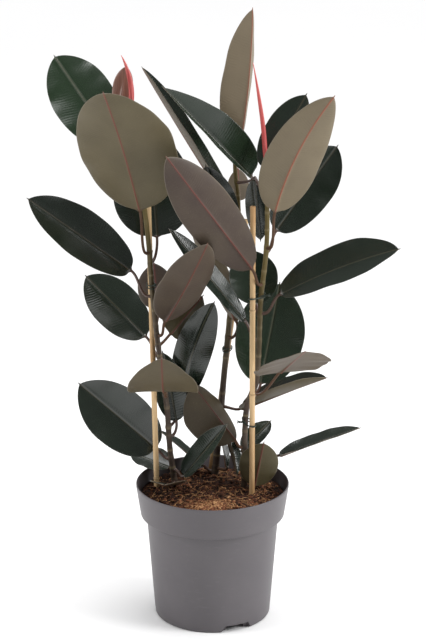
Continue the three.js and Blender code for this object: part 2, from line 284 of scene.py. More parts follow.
# ---------------------------------------------------------------------------
# Finishes
# ---------------------------------------------------------------------------


@dataclass(frozen=True)
class MouldedPlastic:
    """Satin moulded pot plastic with faint mottling and light scuffs."""

    base: Colour = (0.100, 0.091, 0.098)
    scuffed: Colour = (0.150, 0.138, 0.145)
    grain_per_metre: float = 1400.0
    grain_depth: float = 0.05 * MM

    def material(self) -> bpy.types.Material:
        """Writes the plastic.

        Returns:
            The material.
        """
        kit = ShaderKit("pot_plastic")
        mottle = kit.noise(14.0, 5.0)
        scuffs = kit.noise(60.0, 6.0, kit.place((1.0, 1.0, 3.5))).between(0.56, 0.8)
        grain = kit.noise(self.grain_per_metre, 2.0)
        flow = kit.noise(30.0, 2.0, kit.place((1.0, 1.0, 0.08)))
        worn = scuffs * 0.35 + mottle.between(0.3, 0.75) * 0.25
        kit.relief(grain * 0.6 + flow * 0.8 + scuffs * 0.3, self.grain_depth)
        return kit.done(
            Base_Color=kit.blend(worn, self.base, self.scuffed),
            Roughness=scuffs * 0.12 + grain * 0.1 + 0.4,
            Specular_IOR_Level=0.45,
        )


@dataclass(frozen=True)
class PottingMix:
    """Moist peat and coir: dark crumbs with red-brown and tan bits, and painted shade in the sunken
    gaps between lumps.

    The mesh says where the mix is drier and paler, from 0 to 1.
    """

    # hollow: the near-black of the painted shade in the sunken gaps between lumps.
    hollow: Colour = (0.006, 0.003, 0.002)
    peat: Colour = (0.036, 0.014, 0.008)
    coir: Colour = (0.170, 0.058, 0.026)
    straw: Colour = (0.46, 0.25, 0.115)

    def material(self) -> bpy.types.Material:
        """Writes the mix.

        Returns:
            The material.
        """
        kit = ShaderKit("potting_mix")
        dry = kit.attribute("dry")
        lumps = kit.noise(150.0, 5.0)
        grains = kit.cells(240.0)
        chips = kit.noise(300.0, 3.0)
        red = (lumps + dry * 0.22).between(0.44, 0.64)
        pale = (chips + dry * 0.24).between(0.64, 0.75)
        earth = kit.blend(red, self.peat, self.coir)
        mixed = kit.blend(pale, earth, self.straw)
        # Painted shade: darkens the sunken gaps between lumps and grains, less on the dry mix.
        crevice_shade = (lumps * 0.5 + grains * 0.5 - dry * 0.25).between(0.42, 0.56)
        kit.relief(lumps + (1.0 - grains) * 0.7, 1.8 * MM)
        return kit.done(
            Base_Color=kit.blend(crevice_shade * 0.75, mixed, self.hollow),
            Roughness=lumps * 0.2 + 0.75,
            Specular_IOR_Level=0.25,
        )


@dataclass(frozen=True)
class Bamboo:
    """Dry bamboo with fine fibres along it and darker rings and stains, and painted shade in the
    hollow of its cut top.
    """

    pale: Colour = (0.64, 0.46, 0.25)
    tan: Colour = (0.40, 0.21, 0.080)
    stain: Colour = (0.14, 0.065, 0.028)

    def material(self) -> bpy.types.Material:
        """Writes the bamboo.

        Returns:
            The material.
        """
        kit = ShaderKit("bamboo")
        fibres = kit.noise(900.0, 3.0, kit.place((1.0, 1.0, 0.03)))
        patches = kit.noise(26.0, 4.0, kit.place((1.0, 1.0, 0.35)))
        specks = kit.noise(240.0, 3.0, kit.place((1.0, 1.0, 0.4))).between(0.66, 0.8)
        ring = kit.attribute("ring")
        # Darker towards the soil line and below it.
        foot = kit.attribute("damp")
        wood = kit.blend(fibres * 0.4 + patches.between(0.42, 0.64) * 0.6, self.pale, self.tan)
        # dark: node rings, stains, the darkening near the soil, and painted shade in the cut top's
        # hollow.
        dark = ring * 0.55 + specks * 0.55 + foot * 0.5
        kit.relief(fibres + specks * 0.4, 0.18 * MM)
        return kit.done(
            Base_Color=kit.blend(dark, wood, self.stain),
            Roughness=fibres * 0.2 + 0.4,
            Specular_IOR_Level=0.4,
        )


@dataclass(frozen=True)
class YoungBark:
    """Smooth bark: olive on the young growth, grey-brown and cracked lower down."""

    olive: Colour = (0.120, 0.088, 0.022)
    brown: Colour = (0.052, 0.034, 0.024)
    grey: Colour = (0.110, 0.086, 0.064)
    scar: Colour = (0.25, 0.20, 0.11)

    def material(self) -> bpy.types.Material:
        """Writes the bark.

        Returns:
            The material.
        """
        kit = ShaderKit("young_bark")
        age = kit.attribute("age")
        scars = kit.attribute("scar")
        streaks = kit.noise(420.0, 4.0, kit.place((1.0, 1.0, 0.09)))
        patches = kit.noise(60.0, 4.0, kit.place((1.0, 1.0, 0.5)))
        pores = kit.noise(900.0, 2.0, kit.place((1.0, 1.0, 0.5))).between(0.66, 0.76)
        wood = kit.blend(patches.between(0.45, 0.7) * 0.7, self.brown, self.grey)
        skin = kit.blend(age, self.olive, wood)
        marked = kit.blend(pores * 0.5 + scars * 0.75, skin, self.scar)
        kit.relief(streaks + pores * 0.6, 0.3 * MM)
        return kit.done(
            Base_Color=marked,
            Roughness=streaks * 0.2 + age * 0.15 + 0.35,
            Specular_IOR_Level=0.4,
        )


class LeafSide(Enum):
    """The two faces of a leaf."""

    UPPER = "upper"
    UNDER = "under"


@dataclass(frozen=True)
class LeafSkin:
    """One face of a rubber plant leaf, with its midrib, side veins and stalk, and a painted
    highlight along its edge.

    The blade's own coordinates come from the mesh: how far along the midrib and how far out
    from it, both in millimetres.
    """

    side: LeafSide
    cool: Colour
    warm: Colour
    # light and bright_midrib: the colours where tone is high, partly painted light.
    light: Colour
    dim_midrib: Colour
    bright_midrib: Colour
    vein: Colour
    # margin: the colour of the painted highlight along the blade's edge.
    margin: Colour
    stalk: Colour
    roughness: float
    shine: float
    vein_strength: float
    vein_depth: float
    vein_gap_mm: float = 4.2
    vein_slope: float = 0.30

    def material(self) -> bpy.types.Material:
        """Writes the skin.

        Returns:
            The material.
        """
        kit = ShaderKit(f"leaf_{self.side.value}")
        along = kit.attribute("along_mm")
        out = abs(kit.attribute("out_mm"))
        tone = kit.attribute("tone")
        warmth = kit.attribute("warmth")
        stalk = kit.attribute("stalk")
        edge = kit.attribute("edge")

        drift = kit.noise(30.0, 2.0) * 7.0
        patchy = kit.noise(55.0, 2.0).between(0.35, 0.65)
        phase = (along - out * self.vein_slope + drift) * (2.0 * math.pi / self.vein_gap_mm)
        wave = phase.sine() * 0.5 + 0.5
        lines = wave**7.0 * patchy
        finer = ((phase * 2.63).sine() * 0.5 + 0.5) ** 3.0
        near_rib = out.between(4.0, 0.8)
        rib_core = out.between(1.35, 0.45)
        fine = kit.noise(520.0, 3.0)
        cloud = kit.noise(17.0, 4.0)

        hue = kit.blend(warmth + cloud * 0.3 - 0.15, self.cool, self.warm)
        # Painted light: tone lifts the body toward the light colour, partly the leaf's own lightness
        # and partly light and sheen for how it faces the lamps.
        body = kit.blend(tone + cloud * 0.24 - 0.12, hue, self.light)
        veined = kit.blend((lines + finer * 0.3) * self.vein_strength, body, self.vein)
        speckled = kit.blend(fine.between(0.55, 0.8) * 0.1, veined, self.light)
        # The midrib brightens with tone, carrying the same painted light.
        midrib = kit.blend(tone * 1.6, self.dim_midrib, self.bright_midrib)
        ribbed = kit.blend(rib_core * 0.8 + near_rib * 0.2, speckled, midrib)
        # Painted highlight: a light strip along the blade's edge.
        with_edge_highlight = kit.blend(edge * 0.6, ribbed, self.margin)
        kit.relief(
            wave * patchy * 0.6 + finer * 0.12 + cloud * 3.0 + fine * 0.12, self.vein_depth
        )
        return kit.done(
            Base_Color=kit.blend(stalk, with_edge_highlight, self.stalk),
            Roughness=cloud * 0.14 + fine * 0.06 + stalk * 0.1 + (self.roughness - 0.1),
            Specular_IOR_Level=self.shine,
        )


UPPER_SKIN = LeafSkin(
    side=LeafSide.UPPER,
    cool=(0.0050, 0.0085, 0.0070),
    warm=(0.0085, 0.0090, 0.0060),
    light=(0.014, 0.036, 0.012),
    dim_midrib=(0.030, 0.024, 0.017),
    bright_midrib=(0.070, 0.075, 0.045),
    vein=(0.022, 0.030, 0.024),
    # margin: painted light-grey highlight along the edge.
    margin=(0.085, 0.085, 0.070),
    stalk=(0.075, 0.034, 0.022),
    roughness=0.23,
    shine=0.70,
    vein_strength=0.20,
    vein_depth=0.16 * MM,
)
UNDER_SKIN = LeafSkin(
    side=LeafSide.UNDER,
    cool=(0.042, 0.026, 0.021),
    warm=(0.052, 0.043, 0.014),
    light=(0.320, 0.262, 0.175),
    dim_midrib=(0.090, 0.025, 0.020),
    bright_midrib=(0.300, 0.095, 0.055),
    vein=(0.060, 0.042, 0.034),
    # margin: painted pale highlight along the edge.
    margin=(0.200, 0.170, 0.130),
    stalk=(0.085, 0.042, 0.022),
    roughness=0.50,
    shine=0.30,
    vein_strength=0.16,
    vein_depth=0.16 * MM,
)


@dataclass(frozen=True)
class TenderSkin:
    """A soft red sheath or a new leaf, paler at the tip."""

    name: str
    deep: Colour
    pale: Colour
    roughness: float = 0.42

    def material(self) -> bpy.types.Material:
        """Writes the skin.

        Returns:
            The material.
        """
        kit = ShaderKit(self.name)
        streaks = kit.noise(380.0, 3.0, kit.place((1.0, 1.0, 0.08)))
        cloud = kit.noise(45.0, 3.0)
        share = kit.attribute("tone") * 0.6 + streaks.between(0.35, 0.7) * 0.3 + cloud * 0.15
        kit.relief(streaks, 0.2 * MM)
        return kit.done(
            Base_Color=kit.blend(share, self.deep, self.pale),
            Roughness=streaks * 0.15 + (self.roughness - 0.08),
            Specular_IOR_Level=0.5,
        )


SHEATH_SKIN = TenderSkin("sheath_skin", deep=(0.42, 0.030, 0.036), pale=(0.66, 0.15, 0.13))
YOUNG_SKIN = TenderSkin("young_leaf_skin", deep=(0.13, 0.050, 0.036), pale=(0.30, 0.15, 0.10))


@dataclass(frozen=True)
class CoatedWire:
    """Dark green plastic-coated tie wire."""

    coat: Colour = (0.018, 0.030, 0.020)
    worn: Colour = (0.10, 0.11, 0.09)

    def material(self) -> bpy.types.Material:
        """Writes the coating.

        Returns:
            The material.
        """
        kit = ShaderKit("coated_wire")
        wear = kit.noise(700.0, 4.0)
        kit.relief(wear, 0.1 * MM)
        return kit.done(
            Base_Color=kit.blend(wear.between(0.55, 0.75) * 0.6, self.coat, self.worn),
            Roughness=wear * 0.2 + 0.4,
        )


@dataclass(frozen=True)
class StudioPaper:
    """The plain pale floor."""

    white: Colour = (0.93, 0.93, 0.93)
    shade: Colour = (0.90, 0.90, 0.905)

    def material(self) -> bpy.types.Material:
        """Writes the paper.

        Returns:
            The material.
        """
        kit = ShaderKit("studio_paper")
        cloud = kit.noise(0.8, 2.0)
        return kit.done(
            Base_Color=kit.blend(cloud, self.white, self.shade),
            Roughness=cloud * 0.05 + 0.85,
            Specular_IOR_Level=0.1,
        )


# ---------------------------------------------------------------------------
# Lines and skins
# ---------------------------------------------------------------------------


def smooth(value: np.ndarray | float) -> np.ndarray:
    """A smooth step from 0 to 1 over the same range, flat outside it."""
    held = np.clip(value, 0.0, 1.0)
    return held * held * (3.0 - 2.0 * held)


def unit(vectors: np.ndarray) -> np.ndarray:
    """The same directions with a length of 1."""
    return vectors / np.linalg.norm(vectors, axis=-1, keepdims=True)


def square_to(hint: np.ndarray, along: np.ndarray) -> np.ndarray:
    """The unit direction of the part of `hint` that is square to `along`."""
    return unit(hint - np.sum(hint * along, axis=-1, keepdims=True) * along)


class Line:
    """A curve with a parameter that goes from 0 to 1."""

    STEP = 1e-4

    def points(self, shares: np.ndarray) -> np.ndarray:
        """The points at these parameters, one row each."""
        raise NotImplementedError

    def tangents(self, shares: np.ndarray) -> np.ndarray:
        """The unit directions of travel at these parameters."""
        low = np.clip(shares - self.STEP, 0.0, 1.0)
        high = np.clip(shares + self.STEP, 0.0, 1.0)
        return unit(self.points(high) - self.points(low))

    def point(self, share: float) -> np.ndarray:
        """One point."""
        return self.points(np.array([share]))[0]

    def tangent(self, share: float) -> np.ndarray:
        """One unit direction of travel."""
        return self.tangents(np.array([share]))[0]

    def share_at_height(self, height: float) -> float:
        """The parameter at which a rising line reaches a height."""
        low, high = 0.0, 1.0
        for _ in range(30):
            half = (low + high) / 2.0
            if self.point(half)[2] < height:
                low = half
            else:
                high = half
        return (low + high) / 2.0


class BezierLine(Line):
    """A Bezier curve of any degree."""

    def __init__(self, handles: Iterable[Sequence[float]]) -> None:
        """Keeps the control points, the first and last of which it passes through."""
        self.handles = [np.array(handle, float) for handle in handles]

    def points(self, shares: np.ndarray) -> np.ndarray:
        """The points at these parameters, one row each."""
        column = shares[:, None]
        rows = [np.broadcast_to(handle, (len(shares), 3)) for handle in self.handles]
        while len(rows) > 1:
            rows = [a + (b - a) * column for a, b in zip(rows, rows[1:])]
        return rows[0]


class KnotLine(Line):
    """A smooth curve through a row of knots, with centripetal spacing."""

    def __init__(self, knots: Iterable[Sequence[float]], closed: bool = False) -> None:
        """Keeps the knots.

        Args:
            knots: The points that the curve passes through.
            closed: Whether it returns from the last knot to the first.
        """
        self.knots = np.array(list(knots), float)
        self.closed = closed

    def points(self, shares: np.ndarray) -> np.ndarray:
        """The points at these parameters, one row each."""
        return np.array([self._point(float(share)) for share in shares])

    def _knot(self, index: int) -> np.ndarray:
        """A knot, or one carried on past an open end."""
        count = len(self.knots)
        if self.closed:
            return self.knots[index % count]
        if index < 0:
            return 2.0 * self.knots[0] - self.knots[1]
        if index >= count:
            return 2.0 * self.knots[-1] - self.knots[-2]
        return self.knots[index]

    def _point(self, share: float) -> np.ndarray:
        """The point at one parameter."""
        spans = len(self.knots) - (0 if self.closed else 1)
        place = share * spans
        index = min(int(math.floor(place)), spans - 1)
        part = place - index
        before, start, end, after = (self._knot(index + k) for k in (-1, 0, 1, 2))
        gap_before, gap, gap_after = (
            max(float(np.linalg.norm(b - a)) ** 0.5, 1e-6)
            for a, b in ((before, start), (start, end), (end, after))
        )
        leave = (start - before) / gap_before - (end - before) / (gap_before + gap)
        leave = (leave + (end - start) / gap) * gap
        arrive = (end - start) / gap - (after - start) / (gap + gap_after)
        arrive = (arrive + (after - end) / gap_after) * gap
        cubic = 2.0 * start - 2.0 * end + leave + arrive
        square = -3.0 * start + 3.0 * end - 2.0 * leave - arrive
        return start + leave * part + square * part**2 + cubic * part**3


@dataclass
class Skin:
    """A mesh in the making, in millimetres.

    Attributes:
        points: One row for each point.
        faces: Point numbers round each face.
        finishes: The material number of each face.
        values: Named numbers, one for each point, that the finishes read.
    """

    points: np.ndarray
    faces: list[tuple[int, ...]]
    finishes: list[int]
    values: dict[str, np.ndarray] = field(default_factory=dict)

    @classmethod
    def loft(
        cls,
        rings: np.ndarray,
        values: dict[str, np.ndarray] | None = None,
        closed: bool = False,
        second_from: int | None = None,
    ) -> Skin:
        """A closed skin over rings that all have the same number of points.

        Args:
            rings: Points by ring and by place in the ring.
            values: Named numbers by ring, or by ring and by place in the ring.
            closed: Whether the last ring joins the first; otherwise each end is capped.
            second_from: The place in the ring from which faces take the second finish.

        Returns:
            The skin, facing outwards.
        """
        count, sides = rings.shape[:2]
        faces: list[tuple[int, ...]] = []
        finishes: list[int] = []
        for i in range(count if closed else count - 1):
            here, there = i * sides, ((i + 1) % count) * sides
            for k in range(sides):
                k2 = (k + 1) % sides
                faces.append((here + k, here + k2, there + k2, there + k))
                finishes.append(int(second_from is not None and k >= second_from))
        if not closed:
            last = (count - 1) * sides
            faces.append(tuple(range(sides - 1, -1, -1)))
            faces.append(tuple(range(last, last + sides)))
            finishes.extend((0, 0))
        spread = {}
        for name, value in (values or {}).items():
            shaped = value if value.ndim == 2 else value[:, None]
            spread[name] = np.broadcast_to(shaped, (count, sides)).reshape(-1).copy()
        return cls(rings.reshape(-1, 3).copy(), faces, finishes, spread).outwards()

    @classmethod
    def joined(cls, skins: Sequence[Skin]) -> Skin:
        """Several skins with the same values as one."""
        faces: list[tuple[int, ...]] = []
        finishes: list[int] = []
        start = 0
        for skin in skins:
            faces.extend(tuple(n + start for n in face) for face in skin.faces)
            finishes.extend(skin.finishes)
            start += len(skin.points)
        values = {
            name: np.concatenate([skin.values[name] for skin in skins])
            for name in skins[0].values
        }
        return cls(np.concatenate([skin.points for skin in skins]), faces, finishes, values)

    def outwards(self) -> Skin:
        """Turns every face over if the skin encloses a volume below nothing."""
        volume = 0.0
        middle = self.points.mean(axis=0)
        for face in self.faces:
            corners = self.points[list(face)] - middle
            for k in range(1, len(face) - 1):
                volume += float(np.dot(corners[0], np.cross(corners[k], corners[k + 1])))
        if volume < 0.0:
            self.faces = [face[::-1] for face in self.faces]
        return self


def turned_profile(profile: np.ndarray, sides: int) -> np.ndarray:
    """Rings made by turning a profile of radius and height round the Z axis."""
    angles = np.arange(sides) * 2.0 * math.pi / sides
    around = np.stack([np.cos(angles), np.sin(angles), np.zeros(sides)], axis=1)
    rings = profile[:, None, 0:1] * around[None]
    rings[:, :, 2] = profile[:, None, 1]
    return rings


def tube(
    line: Line,
    shares: np.ndarray,
    radii: np.ndarray,
    sides: int,
    closed: bool = False,
    hint: Sequence[float] = (1.0, 0.0, 0.0),
) -> np.ndarray:
    """Round rings along a line.

    Args:
        line: The centre line.
        shares: The parameters of the rings.
        radii: A radius for each ring, or for each ring and place in it.
        sides: Points in a ring.
        closed: Whether the line is closed, so that the shares stop short of 1.
        hint: A direction that is never along the line.

    Returns:
        The rings.
    """
    centres = line.points(shares)
    if closed:
        ahead = line.points((shares + Line.STEP) % 1.0)
        along = unit(ahead - centres)
    else:
        along = line.tangents(shares)
    across = square_to(np.array(hint, float)[None], along)
    up = np.cross(along, across)
    angles = np.arange(sides) * 2.0 * math.pi / sides
    spread = radii if radii.ndim == 2 else radii[:, None]
    return (
        centres[:, None]
        + across[:, None] * (spread * np.cos(angles))[:, :, None]
        + up[:, None] * (spread * np.sin(angles))[:, :, None]
    )


def soft_noise(points: np.ndarray, size: float, layers: int = 1) -> np.ndarray:
    """Smooth noise about -1 to 1 at each point.

    Args:
        points: Points in millimetres.
        size: The size of the largest features, in millimetres.
        layers: How many layers it has, each half the size and strength of the last.

    Returns:
        One number for each point.
    """
    total = np.zeros(len(points))
    for layer in range(layers):
        scale = 2.0**layer / size
        total += [noise.noise(Vector(point * scale)) / 2.0**layer for point in points]
    return total


# ---------------------------------------------------------------------------
# Pieces
# ---------------------------------------------------------------------------


class Slot(Enum):
    """The finishes that the part's record names."""

    POT = "pot"
    SOIL = "soil"
    BAMBOO = "bamboo"
    BARK = "bark"
    LEAF = "leaf"
    YOUNG_LEAF = "young_leaf"
    SHEATH = "sheath"
    WIRE = "wire"


SMOOTH_ALL_DEGREES = 180.0


def into_scene(name: str, data: bpy.types.ID) -> bpy.types.Object:
    """Puts a mesh, light or camera into the scene as an object."""
    thing = bpy.data.objects.new(name, data)
    bpy.context.scene.collection.objects.link(thing)
    return thing


def add_piece(
    name: str,
    skin: Skin,
    materials: Sequence[bpy.types.Material],
    replaced: Sequence[str],
    crease_degrees: float = SMOOTH_ALL_DEGREES,
) -> bpy.types.Object:
    """Turns a skin into a piece of the plant that stands for CAD nodes.

    Args:
        name: The piece's name.
        skin: Its mesh, in millimetres.
        materials: Its materials, in the order of the skin's finish numbers.
        replaced: The CAD nodes that it stands for.
        crease_degrees: Edges that bend more than this stay sharp.

    Returns:
        The new object.
    """
    mesh = bpy.data.meshes.new(name)
    mesh.from_pydata((skin.points * MM).tolist(), [], skin.faces)
    for material in materials:
        mesh.materials.append(material)
    mesh.polygons.foreach_set("material_index", skin.finishes)
    mesh.polygons.foreach_set("use_smooth", [True] * len(skin.faces))
    for key, values in skin.values.items():
        attribute = mesh.attributes.new(key, "FLOAT", "POINT")
        attribute.data.foreach_set("value", values.astype(np.float32))
    mesh.update()
    if crease_degrees < SMOOTH_ALL_DEGREES:
        mesh.set_sharp_from_angle(angle=math.radians(crease_degrees))
    piece = into_scene(name, mesh)
    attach(piece, ROOT_BODY)
    if replaced:
        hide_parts(*replaced)
    LOG.info("%s: %d faces", name, len(skin.faces))
    return piece


@dataclass
class NurseryPot:
    """The moulded pot: a tapered body, a taller collar with a rolled rim, and drain notches."""

    rim_radius: float = 120.0
    height: float = 218.0
    collar_bottom: float = 169.0
    collar_foot_radius: float = 113.3
    shoulder_radius: float = 104.0
    base_radius: float = 91.3
    base_rounding: float = 4.4
    wall: float = 2.2
    floor: float = 3.0
    foot_height: float = 12.0
    foot_inner_radius: float = 83.0
    hub_radius: float = 30.0
    notch_count: int = 3
    notch_first_angle: float = -65.0
    notch_height: float = 11.0
    notch_width_top: float = 38.0
    notch_width_bottom: float = 50.0
    notch_reach: float = 14.0
    sides: int = 192
    crease_degrees: float = 40.0
    finish: MouldedPlastic = MouldedPlastic()

    @property
    def inner_floor(self) -> float:
        """The height of the floor's upper side."""
        return self.foot_height + self.floor

    def corner(
        self, centre: tuple[float, float], radius: float, start: float, end: float, steps: int
    ) -> list[tuple[float, float]]:
        """Points round a corner of the profile.

        Args:
            centre: The corner's centre, as radius and height.
            radius: Its rounding.
            start: The first angle, in degrees.
            end: The last angle.
            steps: The number of spans.

        Returns:
            The points.
        """
        angles = np.radians(np.linspace(start, end, steps + 1))
        return [
            (centre[0] + radius * math.cos(a), centre[1] + radius * math.sin(a)) for a in angles
        ]

    def straight(
        self, start: tuple[float, float], end: tuple[float, float], steps: int
    ) -> list[tuple[float, float]]:
        """Points along a straight stretch of the profile, past its start."""
        return [(float(r), float(z)) for r, z in np.linspace(start, end, steps + 1)[1:]]

    def profile(self) -> np.ndarray:
        """The closed profile, from the middle of the underside out, up, over and down inside."""
        rim = self.wall / 2.0
        low = self.collar_bottom
        base = self.base_radius - self.base_rounding
        inner = self.foot_inner_radius
        hub = self.hub_radius
        outside = [(0.02, 0.0), (hub * 0.6, 0.0), (hub - 0.8, 0.0), (hub, 0.8)]
        outside += [(hub + 0.8, self.foot_height - 1.2), (hub + 2.4, self.foot_height)]
        outside += [(inner - 2.5, self.foot_height), (inner - 0.8, self.foot_height - 1.4)]
        outside += [(inner - 0.2, 0.8), (inner + 0.4, 0.0)]
        outside += self.corner((base, self.base_rounding), self.base_rounding, -90, -5, 8)
        top_radius = self.shoulder_radius
        outside += self.straight(outside[-1], (top_radius, low - 3.2), 24)[:-1]
        outside += [(top_radius + 0.3, low - 2.4), (top_radius + 1.4, low - 2.05)]
        outside += [(top_radius + 4.0, low - 2.0), (top_radius + 6.0, low - 2.0)]
        outside += self.corner((self.collar_foot_radius - 2.0, low), 2.0, -80, 0, 5)
        lip_radius, lip = self.rim_radius - 0.25, self.height - 6.0
        outside += self.straight(outside[-1], (lip_radius, lip), 9)
        outside += [(lip_radius + 0.2, lip + 0.8), (lip_radius + 0.25, lip + 2.2)]
        outside += self.corner((self.rim_radius - rim, self.height - rim), rim, 0, 180, 8)
        inside = [
            (self.collar_foot_radius - self.wall + 4.5, self.height - 18.0),
            (self.collar_foot_radius - self.wall, low + 3.0),
            (self.shoulder_radius - self.wall, low - 1.0),
            (self.base_radius - self.wall, self.inner_floor + 3.0),
            (base, self.inner_floor),
            (hub - 1.0, self.inner_floor),
            (hub - 2.0, self.floor),
            (0.02, self.floor),
        ]
        return np.array(outside + inside)

    def notch(self, angle: float) -> Skin:
        """The block that cuts one drain notch."""
        below = 5.0
        wide, narrow = self.notch_width_bottom / 2.0, self.notch_width_top / 2.0
        outline = [(-wide, -below), (wide, -below), (wide, 0.0)]
        outline += [
            (narrow + 2.0, self.notch_height - 1.6),
            (narrow + 0.7, self.notch_height - 0.4),
            (narrow - 1.0, self.notch_height),
            (1.0 - narrow, self.notch_height),
            (-narrow - 0.7, self.notch_height - 0.4),
            (-narrow - 2.0, self.notch_height - 1.6),
            (-wide, 0.0),
        ]
        turn = math.radians(angle)
        out = np.array([math.cos(turn), math.sin(turn), 0.0])
        side = np.array([-math.sin(turn), math.cos(turn), 0.0])
        middle = self.base_radius + 4.0
        rings = [
            [out * distance + side * x + np.array([0, 0, z]) for x, z in outline]
            for distance in (middle - self.notch_reach, middle + self.notch_reach)
        ]
        return Skin.loft(np.array(rings))

    def build(self) -> bpy.types.Object:
        """Turns the shell, cuts the notches and dresses the pot.

        Returns:
            The pot.
        """
        shell = Skin.loft(turned_profile(self.profile(), self.sides))
        pot = add_piece("nursery_pot", shell, [self.finish.material()], ["pot"])
        cutters = []
        for i in range(self.notch_count):
            skin = self.notch(self.notch_first_angle + i * 360.0 / self.notch_count)
            mesh = bpy.data.meshes.new("notch_cutter")
            mesh.from_pydata((skin.points * MM).tolist(), [], skin.faces)
            cutter = into_scene("notch_cutter", mesh)
            cut = pot.modifiers.new("drain_notch", "BOOLEAN")
            cut.operation = "DIFFERENCE"
            cut.solver = "EXACT"
            cut.object = cutter
            cutters.append(cutter)
        graph = bpy.context.evaluated_depsgraph_get()
        finished = bpy.data.meshes.new_from_object(pot.evaluated_get(graph))
        pot.modifiers.clear()
        pot.data = finished
        for cutter in cutters:
            bpy.data.objects.remove(cutter)
        finished.polygons.foreach_set("use_smooth", [True] * len(finished.polygons))
        finished.set_sharp_from_angle(angle=math.radians(self.crease_degrees))
        return pot


@dataclass
class Cane:
    """One bamboo cane, cut square at the top, with raised rings at its nodes."""

    side: str
    foot: Point
    top: Point
    ring_shares: tuple[float, ...]
    radius: float = 4.4
    buried_foot: float = 100.0
    hollow_radius: float = 1.5
    hollow_depth: float = 9.0
    sides: int = 24
    steps: int = 90
    crease_degrees: float = 50.0
    ring_rows: tuple[float, ...] = (-3.0, -2.0, -1.2, -0.6, 0.0, 0.7, 1.6, 3.0)

    def line(self) -> BezierLine:
        """The centre line, from the buried foot to the cut top."""
        foot, top = np.array(self.foot, float), np.array(self.top, float)
        along = top - foot
        start = foot + along * (self.buried_foot - foot[2]) / along[2]
        return BezierLine([start, top])

    def build(self, material: bpy.types.Material, soil_level: float) -> bpy.types.Object:
        """Makes the cane.

        Args:
            material: The bamboo.
            soil_level: The height of the soil, where the cane turns dark.

        Returns:
            The cane.
        """
        line = self.line()
        length = float(np.linalg.norm(line.point(1.0) - line.point(0.0)))
        places = set(np.linspace(0.0, length - 1.0, self.steps).tolist())
        for share in self.ring_shares:
            places.update(share * length + row for row in self.ring_rows)
        heights = np.array(sorted(places))
        swell = np.zeros_like(heights)
        ring = np.zeros_like(heights)
        for share in self.ring_shares:
            away = heights - share * length
            swell += 0.75 * np.exp(-((away / 1.6) ** 2))
            swell -= 0.35 * np.exp(-(((away - 3.2) / 1.6) ** 2))
            ring = np.maximum(ring, np.exp(-(((away - 1.4) / 1.1) ** 2)))
        radii = self.radius - 0.15 + swell
        angles = np.arange(self.sides) * 2.0 * math.pi / self.sides
        oval = 1.0 + 0.025 * np.sin(angles + self.foot[0]) + 0.015 * np.sin(3 * angles)
        grid = radii[:, None] * oval[None]
        ends = np.array([length - 0.35, length, length, length - self.hollow_depth])
        end_radii = np.array(
            [self.radius - 0.2, self.radius - 0.6, self.hollow_radius, self.hollow_radius]
        )
        all_heights = np.concatenate([heights, ends])
        all_radii = np.concatenate([grid, end_radii[:, None] * oval[None]])
        rings = tube(line, all_heights / length, all_radii, self.sides)
        z = line.points(all_heights / length)[:, 2]
        # The four end rings: slightly darker at the cut rim, then painted shade deepening down the
        # hollow of the cut top.
        values = {
            "ring": np.concatenate([ring, [0.2, 0.2, 0.9, 1.6]]),
            # Darker towards the soil line and below it.
            "damp": smooth((soil_level + 16.0 - z) / 22.0),
        }
        skin = Skin.loft(rings, values)
        name, node = f"bamboo_{self.side}", f"cane_{self.side}"
        return add_piece(name, skin, [material], [node], self.crease_degrees)


@dataclass
class Stem:
    """One woody stem, with a scar ring at each joint."""

    side: str
    knots: tuple[Point, ...]
    foot_radius: float
    top_radius: float
    scars: tuple[float, ...]
    buried_foot: float = 165.0
    soil_level: float = 199.0
    sides: int = 24
    steps: int = 260

    def line(self) -> KnotLine:
        """The centre line, from below the soil to the growing tip."""
        foot, above = (np.array(knot, float) for knot in self.knots[:2])
        slope = above - foot
        start = foot + slope * (self.buried_foot - foot[2]) / slope[2]
        return KnotLine([start, *self.knots])

    def radius_at(self, height: float | np.ndarray) -> np.ndarray:
        """The radius at a height."""
        share = np.clip(
            (height - self.soil_level) / (self.knots[-1][2] - self.soil_level), 0.0, 1.0
        )
        return self.foot_radius + (self.top_radius - self.foot_radius) * share

    def build(self, material: bpy.types.Material, joints: Sequence[float]) -> bpy.types.Object:
        """Makes the stem.

        Args:
            material: The bark.
            joints: The heights at which leaves leave it.

        Returns:
            The stem.
        """
        line = self.line()
        shares = np.linspace(0.0, 1.0, self.steps + 1)
        z = line.points(shares)[:, 2]
        radii = self.radius_at(z)
        scar = np.zeros_like(z)
        for height in joints:
            radii = radii + 0.55 * np.exp(-(((z - height) / 4.0) ** 2))
            scar = np.maximum(scar, 0.35 * np.exp(-(((z - height - 5.0) / 1.2) ** 2)))
        for height in self.scars:
            radii = radii + 0.4 * np.exp(-(((z - height) / 2.4) ** 2))
            scar = np.maximum(scar, np.exp(-(((z - height) / 1.5) ** 2)))
        angles = np.arange(self.sides) * 2.0 * math.pi / self.sides
        across = np.stack([np.cos(angles), np.sin(angles)], axis=1) * self.foot_radius * 2.0
        places = np.array([[x, y, height / 5.0] for height in z for x, y in across])
        rough = soft_noise(places + self.foot_radius * 10.0, 7.0, 2).reshape(len(z), -1)
        tip = np.sqrt(np.clip((1.0 - shares) * 60.0, 0.04, 1.0))
        grid = (radii[:, None] + 0.22 * rough) * tip[:, None]
        old = smooth((self.knots[-1][2] - 150.0 - z) / 260.0)
        values = {"age": old, "scar": scar}
        skin = Skin.loft(tube(line, shares, grid, self.sides), values)
        name, node = f"trunk_{self.side}", f"stem_{self.side}"
        return add_piece(name, skin, [material], [node])


